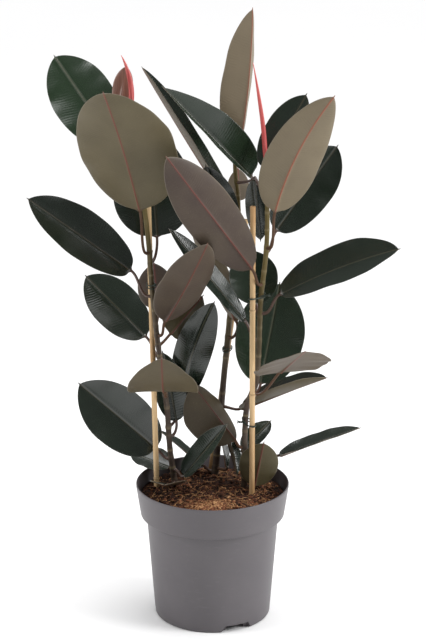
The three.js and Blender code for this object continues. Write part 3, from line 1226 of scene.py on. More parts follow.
@dataclass(frozen=True)
class LeafShape:
    """How one leaf hangs, in millimetres and degrees.

    Attributes:
        joint: The height on the stem where the stalk leaves it.
        base: Where the stalk meets the blade.
        tip: The blade's tip.
        face: The way that the upper face looks.
        width: The blade's full width.
        tone: How light the leaf is, 0 to 1: partly its own lightness, partly painted light and sheen
            for the way it faces the lamps.
        warmth: How olive the underside is, 0 to 1.
        bow: How far the middle of the midrib sags towards the underside.
        sway: How far the middle swings to the blade's right.
        fold: How far each half rises from flat.
        curl: The same, growing towards the margin.
        twist: How far the tip is turned from the base.
        belly: Where the blade is widest, as a share of its length.
        point: How sharply the blade narrows to its tip.
        ripple: How strongly the margin waves.
    """

    joint: float
    base: Point
    tip: Point
    face: Point
    width: float
    tone: float = 0.3
    warmth: float = 0.3
    bow: float = 0.0
    sway: float = 0.0
    fold: float = 8.0
    curl: float = 6.0
    twist: float = 0.0
    belly: float = 0.5
    point: float = 0.72
    ripple: float = 1.0


@dataclass(frozen=True)
class LeafSection:
    """Where the points of every ring lie across a leaf.

    Attributes:
        shares: The share of the half width, -1 to 1, of each point: over the top from left to
            right, and back underneath.
        under: 1 for each point that is underneath, and 0 for the rest.
    """

    shares: np.ndarray
    under: np.ndarray

    @classmethod
    def with_sides(cls, half_sides: int) -> LeafSection:
        """Lays the points out, closer together at the midrib and the margin."""
        even = np.arange(half_sides + 1) / half_sides
        half = even - 0.75 / (2.0 * math.pi) * np.sin(2.0 * math.pi * even)
        top = np.concatenate([-half[:0:-1], half])
        return cls(
            np.concatenate([top, top[-2:0:-1]]),
            np.concatenate([np.zeros(len(top)), np.ones(len(top) - 2)]),
        )

    @property
    def turn(self) -> np.ndarray:
        """Each point's height on a round section of radius 1."""
        way_up = np.where(self.under > 0.5, -1.0, 1.0)
        return way_up * np.sqrt(np.clip(1.0 - self.shares**2, 0.0, 1.0))

    def circle(
        self, centre: np.ndarray, radius: float, side: np.ndarray, up: np.ndarray
    ) -> np.ndarray:
        """A round ring in the plane of two directions."""
        return centre + radius * (self.shares[:, None] * side + self.turn[:, None] * up)


@dataclass
class LeafRings:
    """The rings of one leaf so far, with the numbers that its finishes read."""

    sides: int
    rings: list[np.ndarray] = field(default_factory=list)
    values: dict[str, list[np.ndarray]] = field(default_factory=dict)

    def keep(self, ring: np.ndarray, **values: np.ndarray | float) -> None:
        """Adds one ring, with values that are one number or one for each point."""
        self.rings.append(ring)
        for key, value in values.items():
            self.values.setdefault(key, []).append(np.broadcast_to(value, (self.sides,)))


@dataclass
class Leaf:
    """One leaf: a round stalk that runs on as the midrib of a thick, glossy blade."""

    name: str
    node: str
    shape: LeafShape
    stem: Stem
    seed: int
    stalk_radius: float = 2.3
    stalk_rings: int = 16
    foot_depth: float = 2.6
    thickness: float = 1.1
    gap: float = 0.35
    groove_depth: float = 0.45
    groove_width: float = 1.2
    shoulder_height: float = 0.25
    shoulder_place: float = 3.0
    shoulder_width: float = 1.6
    edge_highlight_width: float = 1.3
    least_half_width: float = 1.1
    ripple_share: float = 0.0286
    tip_rings: tuple[tuple[float, float], ...] = ((1.6, 0.85), (3.2, 0.55), (4.4, 0.12))
    half_sides: int = 16
    stations: int = 52

    def outline(self, shares: np.ndarray) -> np.ndarray:
        """Half the blade's width at shares of its length, for a widest half of 1."""
        belly, point = self.shape.belly, self.shape.point
        before = np.clip((belly - shares) / belly, 0.0, 1.0)
        after = np.clip((shares - belly) / (1.0 - belly), 0.0, 1.0)
        return np.where(shares < belly, np.sqrt(1 - before**2.2), (1 - after**2.1) ** point)

    def stalk_line(self, midrib: Line) -> tuple[BezierLine, np.ndarray, np.ndarray]:
        """The stalk's centre line.

        Args:
            midrib: The blade's midrib.

        Returns:
            The line, the point where it leaves the stem, and the way it leaves.
        """
        stem_line = self.stem.line()
        at = stem_line.share_at_height(self.shape.joint)
        centre, base = stem_line.point(at), np.array(self.shape.base, float)
        outward = square_to(base - centre, stem_line.tangent(at))
        foot = centre + outward * (float(self.stem.radius_at(self.shape.joint)) + self.gap)
        reach = 0.35 * float(np.linalg.norm(base - foot))
        start = midrib.tangent(0.0)
        line = BezierLine([foot, foot + outward * reach, base - start * reach, base])
        return line, foot, outward

    def level_at(self, upper: np.ndarray, along: np.ndarray, share: float) -> np.ndarray:
        """The way that the upper face looks, at a share of the blade's length."""
        flat = square_to(upper, along)
        angle = math.radians(self.shape.twist) * share
        return flat * math.cos(angle) + np.cross(along, flat) * math.sin(angle)

    def add_stalk(
        self, rows: LeafRings, section: LeafSection, midrib: Line, upper: np.ndarray
    ) -> None:
        """Adds the rings of the stalk, from inside the bark to the blade.

        Args:
            rows: The leaf's rings.
            section: The points across it.
            midrib: The blade's midrib.
            upper: The way that the blade's upper face looks at its base.
        """
        face = np.array(self.shape.face, float)
        stalk, foot, outward = self.stalk_line(midrib)
        length = float(np.linalg.norm(np.array(self.shape.base, float) - foot))
        places = [(0.0, foot - outward * self.foot_depth, outward)]
        for share in np.linspace(0.0, 0.97, self.stalk_rings).tolist():
            places.append((share, stalk.point(share), stalk.tangent(share)))
        for share, centre, along in places:
            up = square_to(face + (upper - face) * share, along)
            side = np.cross(along, up)
            radius = self.stalk_radius * (0.94 + 0.32 * math.exp(-share * length / 5.0))
            ring = section.circle(centre, radius, side, up)
            rows.keep(ring, along_mm=(share - 1.0) * length, out_mm=0.0, stalk=1.0, edge=0.0)

    def add_blade(
        self, rows: LeafRings, section: LeafSection, midrib: Line, upper: np.ndarray
    ) -> None:
        """Adds the rings of the blade, which grows out of the round stalk.

        Args:
            rows: The leaf's rings.
            section: The points across it.
            midrib: The blade's midrib.
            upper: The way that the upper face looks at the base.
        """
        shape, shares, under = self.shape, section.shares, section.under
        luck = random.Random(self.seed)
        whole_turn = 2.0 * math.pi
        phases = [luck.uniform(0.0, whole_turn) for _ in range(4)]
        waves = [luck.uniform(1.6, 2.6), luck.uniform(1.6, 2.6), luck.uniform(3.4, 5.0)]
        steps = np.linspace(0.0, 1.0, self.stations)
        places = 0.5 * (1.0 - np.cos(math.pi * steps)) * 0.4 + steps * 0.6
        halves = np.maximum(self.outline(places) * shape.width / 2.0, self.least_half_width)
        length = float(np.linalg.norm(midrib.point(1.0) - midrib.point(0.0)))
        slope, roll = math.radians(shape.fold), math.radians(shape.curl)
        for t, half in zip(places.tolist(), halves.tolist()):
            centre, along = midrib.point(t), midrib.tangent(t)
            level = self.level_at(upper, along, t)
            side = np.cross(along, level)
            out = half * shares
            left = np.sin(whole_turn * waves[0] * t + phases[0])
            right = np.sin(whole_turn * waves[1] * t + phases[1])
            wave = np.where(shares < 0.0, left, right)
            wave = wave + 0.45 * np.sin(whole_turn * waves[2] * t + phases[2] + shares)
            fade = float(smooth(t / 0.15) * smooth((1.0 - t) / 0.1))
            rise = half * (math.sin(slope) * np.abs(shares) + math.sin(roll) * shares**2)
            rise = rise + shape.ripple * self.ripple_share * half * shares**2 * wave * fade
            begun = float(smooth(t / 0.06))
            groove = self.groove_depth * begun * (1.0 - 0.5 * t)
            groove = groove * np.exp(-((out / self.groove_width) ** 2))
            beside = (np.abs(out) - self.shoulder_place) / self.shoulder_width
            shoulder = self.shoulder_height * begun * np.exp(-(beside**2))
            thick = self.thickness * np.clip(1.0 - shares**6, 0.0, 1.0) ** 0.5
            ridge_height = 2.0 * self.stalk_radius - 1.0
            ridge_height += (0.35 - ridge_height) * min(1.0, 1.5 * t) ** 0.8
            ridge = ridge_height * np.exp(-((out / (2.0 - 1.1 * t)) ** 2))
            lift = rise - (1.0 - under) * (groove - shoulder) - under * (thick + ridge)
            blade = centre + (out * math.cos(slope))[:, None] * side + lift[:, None] * level
            stalk = section.circle(centre, self.stalk_radius, side, level)
            flattened = float(smooth(t / 0.03))
            # Painted highlight: how strongly each point takes the light strip along the edge.
            edge = np.clip(1.0 - (half - np.abs(out)) / self.edge_highlight_width, 0.0, 1.0)
            rows.keep(
                stalk + (blade - stalk) * flattened,
                along_mm=t * length,
                out_mm=out,
                stalk=1.0 - float(smooth(t / 0.025)),
                edge=edge * flattened,
            )

    def add_tip(
        self, rows: LeafRings, section: LeafSection, midrib: Line, upper: np.ndarray
    ) -> None:
        """Adds the drip tip, a short fine point past the end of the midrib.

        Args:
            rows: The leaf's rings.
            section: The points across it.
            midrib: The blade's midrib.
            upper: The way that the upper face looks at the base.
        """
        tip, end = midrib.point(1.0), midrib.tangent(1.0)
        length = float(np.linalg.norm(tip - midrib.point(0.0)))
        level = self.level_at(upper, end, 1.0)
        side = np.cross(end, level)
        for reach, half in self.tip_rings:
            out = half * section.shares
            drop = 0.45 * half * section.turn - 0.4
            ring = tip + end * reach + out[:, None] * side + drop[:, None] * level
            # The drip tip takes half the painted edge highlight.
            rows.keep(ring, along_mm=length + reach, out_mm=out, stalk=0.0, edge=0.5)

    def skin(self) -> Skin:
        """Builds the stalk and the blade as one closed skin.

        Returns:
            The skin, with the upper face as finish 0 and the underside as finish 1.
        """
        shape = self.shape
        base, tip = np.array(shape.base, float), np.array(shape.tip, float)
        chord = unit(tip - base)
        upper = square_to(np.array(shape.face, float), chord)
        right = np.cross(chord, upper)
        middle = (base + tip) / 2.0 - upper * 2.0 * shape.bow + right * 2.0 * shape.sway
        midrib = BezierLine([base, middle, tip])
        section = LeafSection.with_sides(self.half_sides)
        rows = LeafRings(len(section.shares))
        self.add_stalk(rows, section, midrib, upper)
        self.add_blade(rows, section, midrib, upper)
        self.add_tip(rows, section, midrib, upper)
        values = {key: np.array(value) for key, value in rows.values.items()}
        size = (len(rows.rings), rows.sides)
        values["tone"] = np.full(size, shape.tone)
        values["warmth"] = np.full(size, shape.warmth)
        return Skin.loft(np.array(rows.rings), values, second_from=2 * self.half_sides)

    def build(
        self, materials: Sequence[bpy.types.Material], slot: Slot = Slot.LEAF
    ) -> bpy.types.Object:
        """Makes the leaf.

        Args:
            materials: The upper skin and the underside.
            slot: The record's finish that it takes; not used.

        Returns:
            The leaf.
        """
        return add_piece(self.name, self.skin(), materials, [self.node])


@dataclass(frozen=True)
class Mound:
    """A soft rise of any height, or a hollow where its height is below 0.

    Attributes:
        x: Its middle, from the left to the right.
        y: Its middle, from the front to the back.
        wide: How far it spreads in x.
        deep: How far it spreads in y.
        height: How high its middle stands.
    """

    x: float
    y: float
    wide: float
    deep: float
    height: float

    def at(self, x: np.ndarray, y: np.ndarray) -> np.ndarray:
        """How high it stands at places."""
        across, back = (x - self.x) / self.wide, (y - self.y) / self.deep
        return self.height * np.exp(-(across**2) - back**2)


@dataclass
class Soil:
    """The potting mix: a crumbly, mounded top with loose crumbs and coir fibres on it."""

    pot: NurseryPot
    level: float = 199.0
    clearance: float = 0.6
    sides: int = 200
    surface_rings: int = 84
    crumbs: int = 900
    crumb_reach: float = 106.0
    fibres: int = 320
    fibre_reach: float = 98.0
    fibre_limit: float = 108.0
    seed: int = 41
    heaps: tuple[Mound, ...] = (
        Mound(4, -72, 34, 22, 7.0),
        Mound(-66, 8, 24, 26, 3.0),
        Mound(78, -42, 22, 26, -3.0),
    )
    dry_patches: tuple[Mound, ...] = (Mound(-6, -66, 36, 24, 1.0), Mound(72, -46, 26, 20, 0.35))
    finish: PottingMix = PottingMix()

    def height_at(self, x: np.ndarray, y: np.ndarray) -> np.ndarray:
        """The height of the top without its crumbs."""
        out = np.hypot(x, y)
        crown = np.interp(out, [0, 40, 80, 104, 113], [3.0, 3.5, 2.0, -0.5, -2.0])
        top = self.level + crown
        for heap in self.heaps:
            top = top + heap.at(x, y)
        return top

    def plug(self) -> Skin:
        """The mix as one closed body with a crumbly top."""
        pot = self.pot
        inner = pot.collar_foot_radius - pot.wall - 1.0
        lower = np.array(
            [
                (0.02, pot.floor + 0.35),
                (pot.hub_radius - 2.6, pot.floor + 0.35),
                (pot.hub_radius - 1.6, pot.inner_floor + 0.35),
                (pot.base_radius - pot.base_rounding - self.clearance, pot.inner_floor + 0.35),
                (pot.base_radius - pot.wall - self.clearance, pot.inner_floor + 3.0),
                (pot.shoulder_radius - pot.wall - self.clearance, pot.collar_bottom - 1.0),
                (inner, pot.collar_bottom + 3.5),
                (inner + 2.6, self.level - 5.0),
            ]
        )
        top_radii = np.linspace(inner + 2.7, 0.02, self.surface_rings)
        profile = np.concatenate([lower, np.stack([top_radii, top_radii * 0.0], axis=1)])
        rings = turned_profile(profile, self.sides)
        top = rings[len(lower) :].reshape(-1, 3)
        top[:, 2] = self.height_at(top[:, 0], top[:, 1])
        fade = smooth((inner + 3.0 - np.hypot(top[:, 0], top[:, 1])) / 3.0)
        rough = soft_noise(top, 17.0, 4)
        crumbly = np.abs(soft_noise(top + 300.0, 6.5, 2))
        top[:, 2] += (2.4 * rough + 3.2 * crumbly) * (0.35 + 0.65 * fade)
        rings[len(lower) :] = top.reshape(self.surface_rings, self.sides, 3)
        dry = self.dryness_at(rings[:, :, 0], rings[:, :, 1])
        return Skin.loft(rings, {"dry": dry})

    def dryness_at(self, x: np.ndarray, y: np.ndarray) -> np.ndarray:
        """How dry and pale the mix is, 0 to 1: most of all on the front heap."""
        return sum(patch.at(x, y) for patch in self.dry_patches)

    def crumb(self, luck: random.Random) -> Skin:
        """One rough lump of mix lying on the top."""
        out = self.crumb_reach * luck.random() ** 0.5
        angle = luck.uniform(0.0, 2.0 * math.pi)
        size = 1.1 + 3.4 * luck.random() ** 3
        x, y = out * math.cos(angle), out * math.sin(angle)
        z = float(self.height_at(np.array(x), np.array(y))) + 1.0 + size * 0.3
        levels = np.linspace(-math.pi / 2 + 0.2, math.pi / 2 - 0.2, 5)
        profile = np.stack([np.cos(levels), np.sin(levels) * luck.uniform(0.5, 0.9)], axis=1)
        rings = turned_profile(profile, 7)
        flat = rings.reshape(-1, 3)
        shift = np.array([luck.uniform(0.0, 90.0) for _ in range(3)])
        flat *= (1.0 + 0.45 * soft_noise(flat * 6.0 + shift, 5.0))[:, None]
        rings = flat.reshape(rings.shape) * size + np.array([x, y, z])
        dry = float(self.dryness_at(np.array(x), np.array(y))) * 0.7 + luck.uniform(0.0, 0.8) ** 2
        return Skin.loft(rings, {"dry": np.full(len(rings), dry)})

    def fibre(self, luck: random.Random) -> Skin:
        """One strand of coir lying across the top."""
        out = self.fibre_reach * luck.random() ** 0.5
        angle = luck.uniform(0.0, 2.0 * math.pi)
        heading = luck.uniform(0.0, 2.0 * math.pi)
        length = luck.uniform(6.0, 24.0)
        knots = []
        for k in range(4):
            heading += luck.uniform(-0.5, 0.5)
            x = out * math.cos(angle) + math.cos(heading) * length * (k / 3.0 - 0.5)
            y = out * math.sin(angle) + math.sin(heading) * length * (k / 3.0 - 0.5)
            inward = min(1.0, self.fibre_limit / max(math.hypot(x, y), 1.0))
            x, y = x * inward, y * inward
            z = float(self.height_at(np.array(x), np.array(y)))
            knots.append((x, y, z + luck.uniform(1.2, 4.2)))
        shares = np.linspace(0.0, 1.0, 9)
        radii = luck.uniform(0.2, 0.48) * np.sqrt(np.clip(1.0 - (2 * shares - 1) ** 6, 0.2, 1))
        strand = tube(KnotLine(knots), shares, radii, 5, hint=(0.0, 0.0, 1.0))
        return Skin.loft(strand, {"dry": np.full(len(strand), luck.uniform(0.6, 1.6))})

    def build(self) -> None:
        """Makes the plug of mix, and the loose bits on it as a second piece."""
        luck = random.Random(self.seed)
        mix = self.finish.material()
        add_piece("potting_mix", self.plug(), [mix], ["soil"])
        bits = Skin.joined([self.crumb(luck) for _ in range(self.crumbs)])
        add_piece("loose_crumbs", bits, [mix], [])
        strands = Skin.joined([self.fibre(luck) for _ in range(self.fibres)])
        add_piece("coir_fibres", strands, [mix], [])


@dataclass(frozen=True)
class TieTurn:
    """One turn of wire: its number, its height above the middle, and its lean."""

    number: int
    lift: float
    lean: float


@dataclass
class WireTie:
    """A coated wire looped twice round a stem and its cane, with a twisted end."""

    name: str
    node: str
    stem: Stem
    cane: Cane
    height: float
    tail_degrees: float
    wire_radius: float = 0.85
    slack: float = 1.6
    sides: int = 10
    turns: tuple[TieTurn, ...] = (TieTurn(0, -1.1, 0.10), TieTurn(1, 1.1, -0.08))
    turn_knots: int = 16
    turn_rings: int = 72
    tail_length: float = 15.0
    tail_twists: float = 2.1
    tail_rise: float = 0.25
    tail_knots: int = 22
    tail_rings: int = 90
    crease_degrees: float = 60.0

    def turn_of_wire(
        self, turn: TieTurn, centre: np.ndarray, along: np.ndarray, half: float, radius: float
    ) -> Skin:
        """Bends one turn of wire.

        Args:
            turn: Which turn.
            centre: The middle of the tie.
            along: The level direction from the stem to the cane.
            half: Half the length of the turn.
            radius: Half the width of the turn without its slack.

        Returns:
            The turn, as a closed ring of wire.
        """
        across = np.array([-along[1], along[0], 0.0])
        reach = half + 0.5 * turn.number
        knots = []
        for k in range(self.turn_knots):
            angle = k * 2.0 * math.pi / self.turn_knots
            place = centre + along * reach * math.cos(angle)
            place = place + across * (radius + self.slack * 0.7) * math.sin(angle)
            wobble = 0.5 * math.sin(2 * angle + turn.number)
            rise = turn.lift + turn.lean * reach * math.cos(angle) + wobble
            knots.append(place + np.array([0.0, 0.0, rise]))
        shares = np.arange(self.turn_rings) / self.turn_rings
        radii = np.full(self.turn_rings, self.wire_radius)
        line = KnotLine(knots, closed=True)
        return Skin.loft(tube(line, shares, radii, self.sides, True, (0, 0, 1)), closed=True)

    def tail_of_wire(self, start: np.ndarray, out: np.ndarray, phase: float) -> Skin:
        """Twists one of the two ends, which part again at their tips.

        Args:
            start: Where the end leaves the turns.
            out: The way that it points.
            phase: Which side of the twist it starts on, in radians.

        Returns:
            The end.
        """
        side = square_to(np.array([0.0, 0.0, 1.0]), out)
        other = np.cross(out, side)
        knots = []
        for share in np.linspace(0.0, 1.0, self.tail_knots).tolist():
            spin = phase + share * self.tail_twists * 2.0 * math.pi
            spread = self.wire_radius * (1.05 + 3.4 * max(0.0, share - 0.72))
            round_about = side * math.cos(spin) + other * math.sin(spin)
            knots.append(start + out * self.tail_length * share + round_about * spread)
        radii = np.full(self.tail_rings, self.wire_radius)
        shares = np.linspace(0.0, 1.0, self.tail_rings)
        return Skin.loft(tube(KnotLine(knots), shares, radii, self.sides, hint=tuple(side)))

    def build(self, material: bpy.types.Material) -> bpy.types.Object:
        """Bends and dresses the wire.

        Args:
            material: The wire's coating.

        Returns:
            The tie.
        """
        stem_line, cane_line = self.stem.line(), self.cane.line()
        a = stem_line.point(stem_line.share_at_height(self.height))
        b = cane_line.point(cane_line.share_at_height(self.height))
        apart = b - a
        along = unit(np.array([apart[0], apart[1], 0.0]))
        radius = max(float(self.stem.radius_at(self.height)) + 0.5, self.cane.radius + 0.5)
        radius += self.wire_radius
        half = float(np.linalg.norm(apart)) / 2.0 + radius + self.slack
        centre = (a + b) / 2.0
        angle = math.radians(self.tail_degrees)
        out = unit(np.array([math.cos(angle), math.sin(angle), self.tail_rise]))
        start = centre + out * (radius + self.slack * 0.4)
        parts = [self.turn_of_wire(turn, centre, along, half, radius) for turn in self.turns]
        parts += [self.tail_of_wire(start, out, phase) for phase in (0.0, math.pi)]
        skin, crease = Skin.joined(parts), self.crease_degrees
        return add_piece(self.name, skin, [material], [self.node], crease)


@dataclass
class Sheath:
    """The slim red sheath that wraps a growing tip, with a rolled seam and keels."""

    side: str
    foot: Point
    bend: Point
    tip: Point
    radius: float
    sleeve: float = 12.0
    sides: int = 28
    steps: int = 70

    def build(self, material: bpy.types.Material) -> bpy.types.Object:
        """Makes the sheath.

        Args:
            material: The sheath's skin.

        Returns:
            The sheath.
        """
        foot, bend = np.array(self.foot, float), np.array(self.bend, float)
        start = foot - unit(bend - foot) * self.sleeve
        line = BezierLine([start, bend, self.tip])
        shares = np.linspace(0.0, 1.0, self.steps + 1)
        radii = self.radius * (1.0 - shares) ** 0.7 * (0.8 + 0.35 * np.sin(math.pi * shares)) + 0.3
        angles = np.arange(self.sides) * 2.0 * math.pi / self.sides
        seam = angles[None] + 2.6 * shares[:, None] + 1.2
        keels = 0.05 * np.cos(3.0 * seam) + 0.16 * np.exp(-((np.sin(seam / 2.0) / 0.12) ** 2))
        grid = radii[:, None] * (1.0 + keels * smooth(shares / 0.1)[:, None])
        values = {"tone": 0.15 + 0.85 * shares[:, None] ** 1.5 + 0.3 * keels}
        skin = Skin.loft(tube(line, shares, grid, self.sides), values)
        name, node = f"red_sheath_{self.side}", f"sheath_{self.side}"
        return add_piece(name, skin, [material], [node])


# ---------------------------------------------------------------------------
# The plant
# ---------------------------------------------------------------------------

CANES = {
    "left": Cane("left", (-88, 16, 203), (-98, 16, 690), (0.2, 0.52, 0.83)),
    "middle": Cane("middle", (-3, 84, 202), (52, 92, 620), (0.3, 0.6, 0.9)),
    "right": Cane("right", (62, -13, 197), (61, -13, 668), (0.13, 0.47, 0.71)),
}

STEMS = {
    "left": Stem(
        "left",
        (
            (-59, 30, 200), (-67, 28, 261), (-71, 23, 330), (-81, 11, 415), (-87, 5, 470),
            (-93, 3, 539), (-98, 2, 615), (-112, 0, 737), (-121, -5, 830),
        ),
        4.6,
        3.2,
        (232, 262, 300, 335, 386, 425, 500, 556, 640, 668, 730, 768),
    ),
    "middle": Stem(
        "middle",
        (
            (4, 73, 200), (9, 73, 260), (19, 73, 378), (25, 73, 444), (34, 73, 567),
            (40, 73, 647), (35, 72, 703), (35, 71, 732),
        ),
        5.6,
        3.2,
        (236, 290, 342, 400, 460, 498, 530, 588, 625, 664),
    ),
    "right": Stem(
        "right",
        (
            (50, 12, 200), (51, 11, 301), (55, 10, 346), (68, 8, 380), (71, 8, 417),
            (74, 4, 515), (82, 2, 596), (83, 0, 656), (80, 0, 745),
        ),
        4.8,
        3.2,
        (222, 300, 326, 395, 425, 470, 518, 562, 628, 655, 716),
    ),
}

LEAVES = {
    "left": (
        LeafShape(208, (-63, 16, 206), (-74, -60, 237), (0, 0.375, 0.927), 58, tone=0.25),
        LeafShape(218, (-68, 46, 224), (-130, 75, 238), (0, -0.3, 1), 56, tone=0.3),
        LeafShape(228, (-46, 14, 222), (22, -25, 322), (-0.4, -0.8, 0.5), 40, fold=26, tone=0.3),
        LeafShape(246, (-88, 36, 260), (-209, 50, 363), (0, -1, 0.3), 95, tone=0.2),
        LeafShape(283, (-57, 36, 306), (-78, 52, 414), (0, -1, 0.3), 50, tone=0.2),
        LeafShape(
            356, (-75, 0, 374), (-76, -110, 459), (0, 0.6, 0.8), 108,
            bow=22, fold=1, curl=-4, tone=0.13, warmth=0.7,
        ),
        LeafShape(416, (-104, 54, 440), (-199, 110, 522), (-0.3, -0.7, 0.7), 76, tone=0.25),
        LeafShape(440, (-66, 36, 450), (-16, 74, 500), (0, 1, 0.3), 76, tone=0.05, warmth=0.9),
        LeafShape(
            458, (-73, -6, 484), (-8, -75, 626), (-0.3, 0.9, 0.3), 78,
            belly=0.42, sway=-3, tone=0.12, warmth=0.1,
        ),
        LeafShape(474, (-85, 46, 489), (-92, 95, 548), (0, 0.8, -0.6), 58, tone=0.0, warmth=0.2),
        LeafShape(522, (-124, 4, 562), (-276, -20, 681), (0.1, -0.8, 0.7), 80, tone=0.15),
        LeafShape(574, (-85, 26, 609), (-100, 70, 770), (0, -1, 0.2), 122, belly=0.4, tone=0.15),
        LeafShape(
            592, (-109, -14, 661), (-156, -120, 863), (0.2, 1, 0.3), 150,
            belly=0.42, bow=-8, tone=0.18, warmth=0.9,
        ),
        LeafShape(700, (-150, 24, 758), (-240, 95, 875), (-0.2, -0.8, 0.5), 95, tone=0.8),
        LeafShape(796, (-140, 6, 815), (-128, 8, 877), (0, 1, 0), 30, tone=0.4),
        LeafShape(
            300, (-48, 60, 330), (2, 12, 508), (-0.1, -1, 0.1), 60,
            sway=-8, fold=-10, curl=-4, tone=0.2, ripple=1.8,
        ),
    ),
    "middle": (
        LeafShape(206, (-14, 80, 214), (-84, 95, 268), (0.3, 0.1, 1), 38, tone=0.3),
        LeafShape(214, (24, 58, 220), (16, 48, 262), (1, -0.2, 0.1), 34, tone=0.3),
        LeafShape(268, (24, 56, 272), (38, 38, 215), (1, -0.4, 0.3), 30, fold=36, tone=0.3),
        LeafShape(
            318, (44, 66, 316), (176, 8, 388), (-0.45, 0.05, 0.9), 66,
            fold=28, twist=-12, tone=0.15, warmth=0.8,
        ),
        LeafShape(434, (38, 60, 462), (-33, 50, 632), (0.6, 0.8, 0), 46, tone=0.35, warmth=0.4),
        LeafShape(566, (20, 56, 583), (-10, 68, 710), (0, -1, 0.3), 70, tone=0.2),
        LeafShape(
            610, (28, 96, 640), (-107, 122, 852), (0.9, -0.3, 0.2), 42,
            sway=-6, fold=40, tone=0.3, warmth=0.4,
        ),
        LeafShape(640, (41, 100, 648), (40, 136, 690), (0, 1, -0.6), 34, tone=0.2),
        LeafShape(
            684, (60, 58, 696), (-73, 10, 845), (0.7, -0.6, 0.4), 78,
            fold=36, belly=0.32, point=1.0, tone=0.5,
        ),
        LeafShape(
            718, (40, 62, 742), (60, 60, 953), (-0.6, 0.8, 0.1), 76,
            fold=40, sway=-6, belly=0.42, tone=0.6, warmth=0.3,
        ),
    ),
    "right": (
        LeafShape(206, (66, -1, 211), (80, -2, 283), (0, 1, 0.1), 62, tone=0.1, warmth=1.0),
        LeafShape(240, (104, 24, 253), (231, 30, 297), (-0.3, 0.03, 1), 52, fold=10, tone=0.2),
        LeafShape(262, (48, 38, 258), (92, 80, 290), (-0.2, -0.6, 0.8), 36, tone=0.3),
        LeafShape(
            272, (36, 6, 284), (-30, 26, 370), (-0.5, 0.8, -0.3), 100,
            fold=44, curl=2, tone=0.0, warmth=0.5,
        ),
        LeafShape(350, (75, 30, 370), (105, 75, 520), (0, -1, 0.2), 108, tone=0.45),
        LeafShape(
            366, (104, -22, 408), (137, -122, 474), (-0.16, 0.5, 0.85), 118,
            fold=-3, curl=-4, tone=0.2, warmth=0.2,
        ),
        LeafShape(448, (51, 26, 474), (-64, -15, 632), (0.5, -0.5, 0.5), 44, tone=0.25),
        LeafShape(484, (68, 30, 500), (59, 70, 576), (0, -1, 0.5), 76, tone=0.35),
        LeafShape(
            494, (103, -2, 526), (280, -30, 606), (-0.3, -0.5, 0.8), 80,
            belly=0.54, sway=-8, tone=0.2,
        ),
        LeafShape(
            541, (60, -30, 574), (-66, -110, 766), (-0.4, 0.9, 0.2), 82, tone=0.08, warmth=0.1
        ),
        LeafShape(592, (97, 22, 620), (190, 60, 743), (0, -1, 0.3), 80, belly=0.56, tone=0.15),
        LeafShape(
            600, (94, -14, 659), (176, -80, 849), (0, 1, 0.2), 84,
            sway=10, belly=0.38, tone=0.5, warmth=0.6,
        ),
        LeafShape(680, (64, 30, 700), (74, 50, 599), (-0.2, -1, 0), 36, tone=0.2),
        LeafShape(696, (78, 28, 716), (142, 70, 821), (-0.3, -0.8, 0.5), 62, tone=0.2),
    ),
}

TIES = (
    ("left", 1, 538.0, -70.0),
    ("middle", 1, 413.0, -110.0),
    ("middle", 2, 545.0, -60.0),
    ("right", 1, 317.0, -150.0),
    ("right", 2, 523.0, -20.0),
)

SHEATHS = (
    Sheath("left", (-120, -6, 835), (-118, -6, 866), (-135, -8, 897), 4.4),
    Sheath("right", (79, 0, 752), (76, 0, 805), (60, 0, 885), 3.8),
)

YOUNG_LEAF_NODE = "leaf_left_15"


@dataclass
class RubberPlant:
    """The canes, stems, leaves, ties and sheaths, all standing in one pot of soil."""

    soil: Soil
    first_leaf_seed: int = 101

    def build(self) -> None:
        """Makes and dresses every piece of the plant."""
        bamboo = Bamboo().material()
        bark = YoungBark().material()
        wire = CoatedWire().material()
        blade = [UPPER_SKIN.material(), UNDER_SKIN.material()]
        young = YOUNG_SKIN.material()
        sheath_skin = SHEATH_SKIN.material()
        for cane in CANES.values():
            cane.build(bamboo, self.soil.level)
        for side, stem in STEMS.items():
            stem.build(bark, [shape.joint for shape in LEAVES[side]])
        seed = self.first_leaf_seed
        for side, shapes in LEAVES.items():
            for number, shape in enumerate(shapes, start=1):
                node = f"leaf_{side}_{number:02d}"
                leaf = Leaf(f"blade_{side}_{number:02d}", node, shape, STEMS[side], seed)
                seed += 1
                if node == YOUNG_LEAF_NODE:
                    leaf.build([young, young], Slot.YOUNG_LEAF)
                else:
                    leaf.build(blade)
        for side, number, height, tail in TIES:
            name, node = f"wire_{side}_{number}", f"tie_{side}_{number}"
            WireTie(name, node, STEMS[side], CANES[side], height, tail).build(wire)
        for sheath in SHEATHS:
            sheath.build(sheath_skin)


# ---------------------------------------------------------------------------
# The studio
# ---------------------------------------------------------------------------


@dataclass(frozen=True)
class SoftBox:
    """One square soft light.

    Attributes:
        name: Its name.
        place: Where it hangs.
        watts: Its power.
        side: The length of its side.
    """

    name: str
    place: Point
    watts: float
    side: float = 0.85


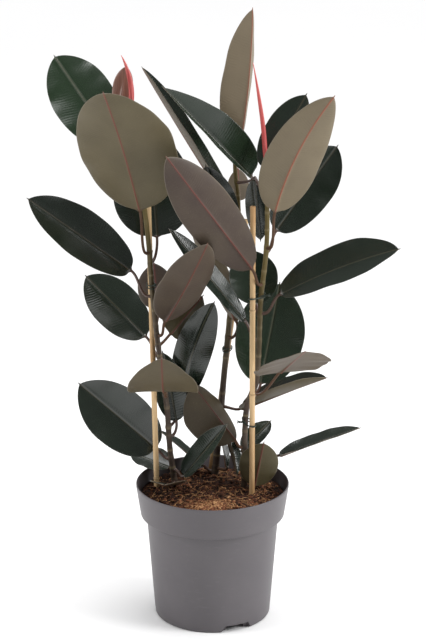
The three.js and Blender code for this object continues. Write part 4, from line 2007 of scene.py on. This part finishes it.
@dataclass
class Studio:
    """A plain pale floor, soft white light all round, and the camera."""

    camera_place: Point = (0.0008, -3.257, 1.509)
    camera_pitch_degrees: float = 72.54
    lens_mm: float = 125.0
    sensor_mm: float = 36.0
    floor_reach: float = 30.0
    room_light: float = 0.22
    overhead_strength: float = 2.80
    overhead_spread_degrees: float = 64.0
    overhead_tilt_degrees: tuple[float, float] = (-8.0, 10.0)
    soft_boxes: tuple[SoftBox, ...] = (
        SoftBox("right_light", (1.9, -0.6, 1.3), 36.0),
        SoftBox("left_light", (-1.9, -0.3, 1.3), 23.0),
    )
    soft_box_aim: Point = (0.0, 0.0, 0.5)
    paper: StudioPaper = StudioPaper()

    def floor(self) -> None:
        """Lays the floor under the pot."""
        reach = self.floor_reach
        corners = [(-reach, -reach, 0), (reach, -reach, 0), (reach, reach, 0), (-reach, reach, 0)]
        mesh = bpy.data.meshes.new("studio_floor")
        mesh.from_pydata(corners, [], [(0, 1, 2, 3)])
        mesh.materials.append(self.paper.material())
        floor = into_scene("studio_floor", mesh)

    def room(self) -> None:
        """Fills the room with even white light."""
        world = bpy.data.worlds.new("white_room")
        world.use_nodes = True
        background = world.node_tree.nodes["Background"]
        background.inputs["Color"].default_value = (1.0, 1.0, 1.0, 1.0)
        background.inputs["Strength"].default_value = self.room_light
        bpy.context.scene.world = world
        bpy.context.scene.view_settings.view_transform = "Standard"

    def hang(self, box: SoftBox) -> None:
        """Hangs one soft light and turns it to the middle of the plant."""
        light = bpy.data.lights.new(box.name, "AREA")
        light.shape = "SQUARE"
        light.size = box.side
        light.energy = box.watts
        lamp = into_scene(box.name, light)
        lamp.location = box.place
        way = Vector(self.soft_box_aim) - Vector(box.place)
        lamp.rotation_euler = way.to_track_quat("-Z", "Y").to_euler()

    def sky_light(self) -> None:
        """Hangs the wide overhead light that whitens the floor all round."""
        light = bpy.data.lights.new("overhead_light", "SUN")
        light.energy = self.overhead_strength
        light.angle = math.radians(self.overhead_spread_degrees)
        lamp = into_scene("overhead_light", light)
        forward, sideways = self.overhead_tilt_degrees
        lamp.rotation_euler = (math.radians(forward), math.radians(sideways), 0.0)

    def camera(self) -> None:
        """Sets up the camera."""
        lens = bpy.data.cameras.new("front_camera")
        lens.lens = self.lens_mm
        lens.sensor_width = self.sensor_mm
        camera = into_scene("front_camera", lens)
        camera.location = self.camera_place
        camera.rotation_euler = (math.radians(self.camera_pitch_degrees), 0.0, 0.0)
        bpy.context.scene.camera = camera

    def build(self) -> None:
        """Sets up the whole studio."""
        self.floor()
        self.room()
        self.sky_light()
        for box in self.soft_boxes:
            self.hang(box)
        self.camera()


def main() -> None:
    """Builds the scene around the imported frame."""
    logging.basicConfig(level=logging.INFO, format="%(name)s %(message)s")
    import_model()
    pot = NurseryPot()
    soil = Soil(pot)
    Studio().build()
    pot.build()
    soil.build()
    RubberPlant(soil).build()


if __name__ == "__main__":
    main()
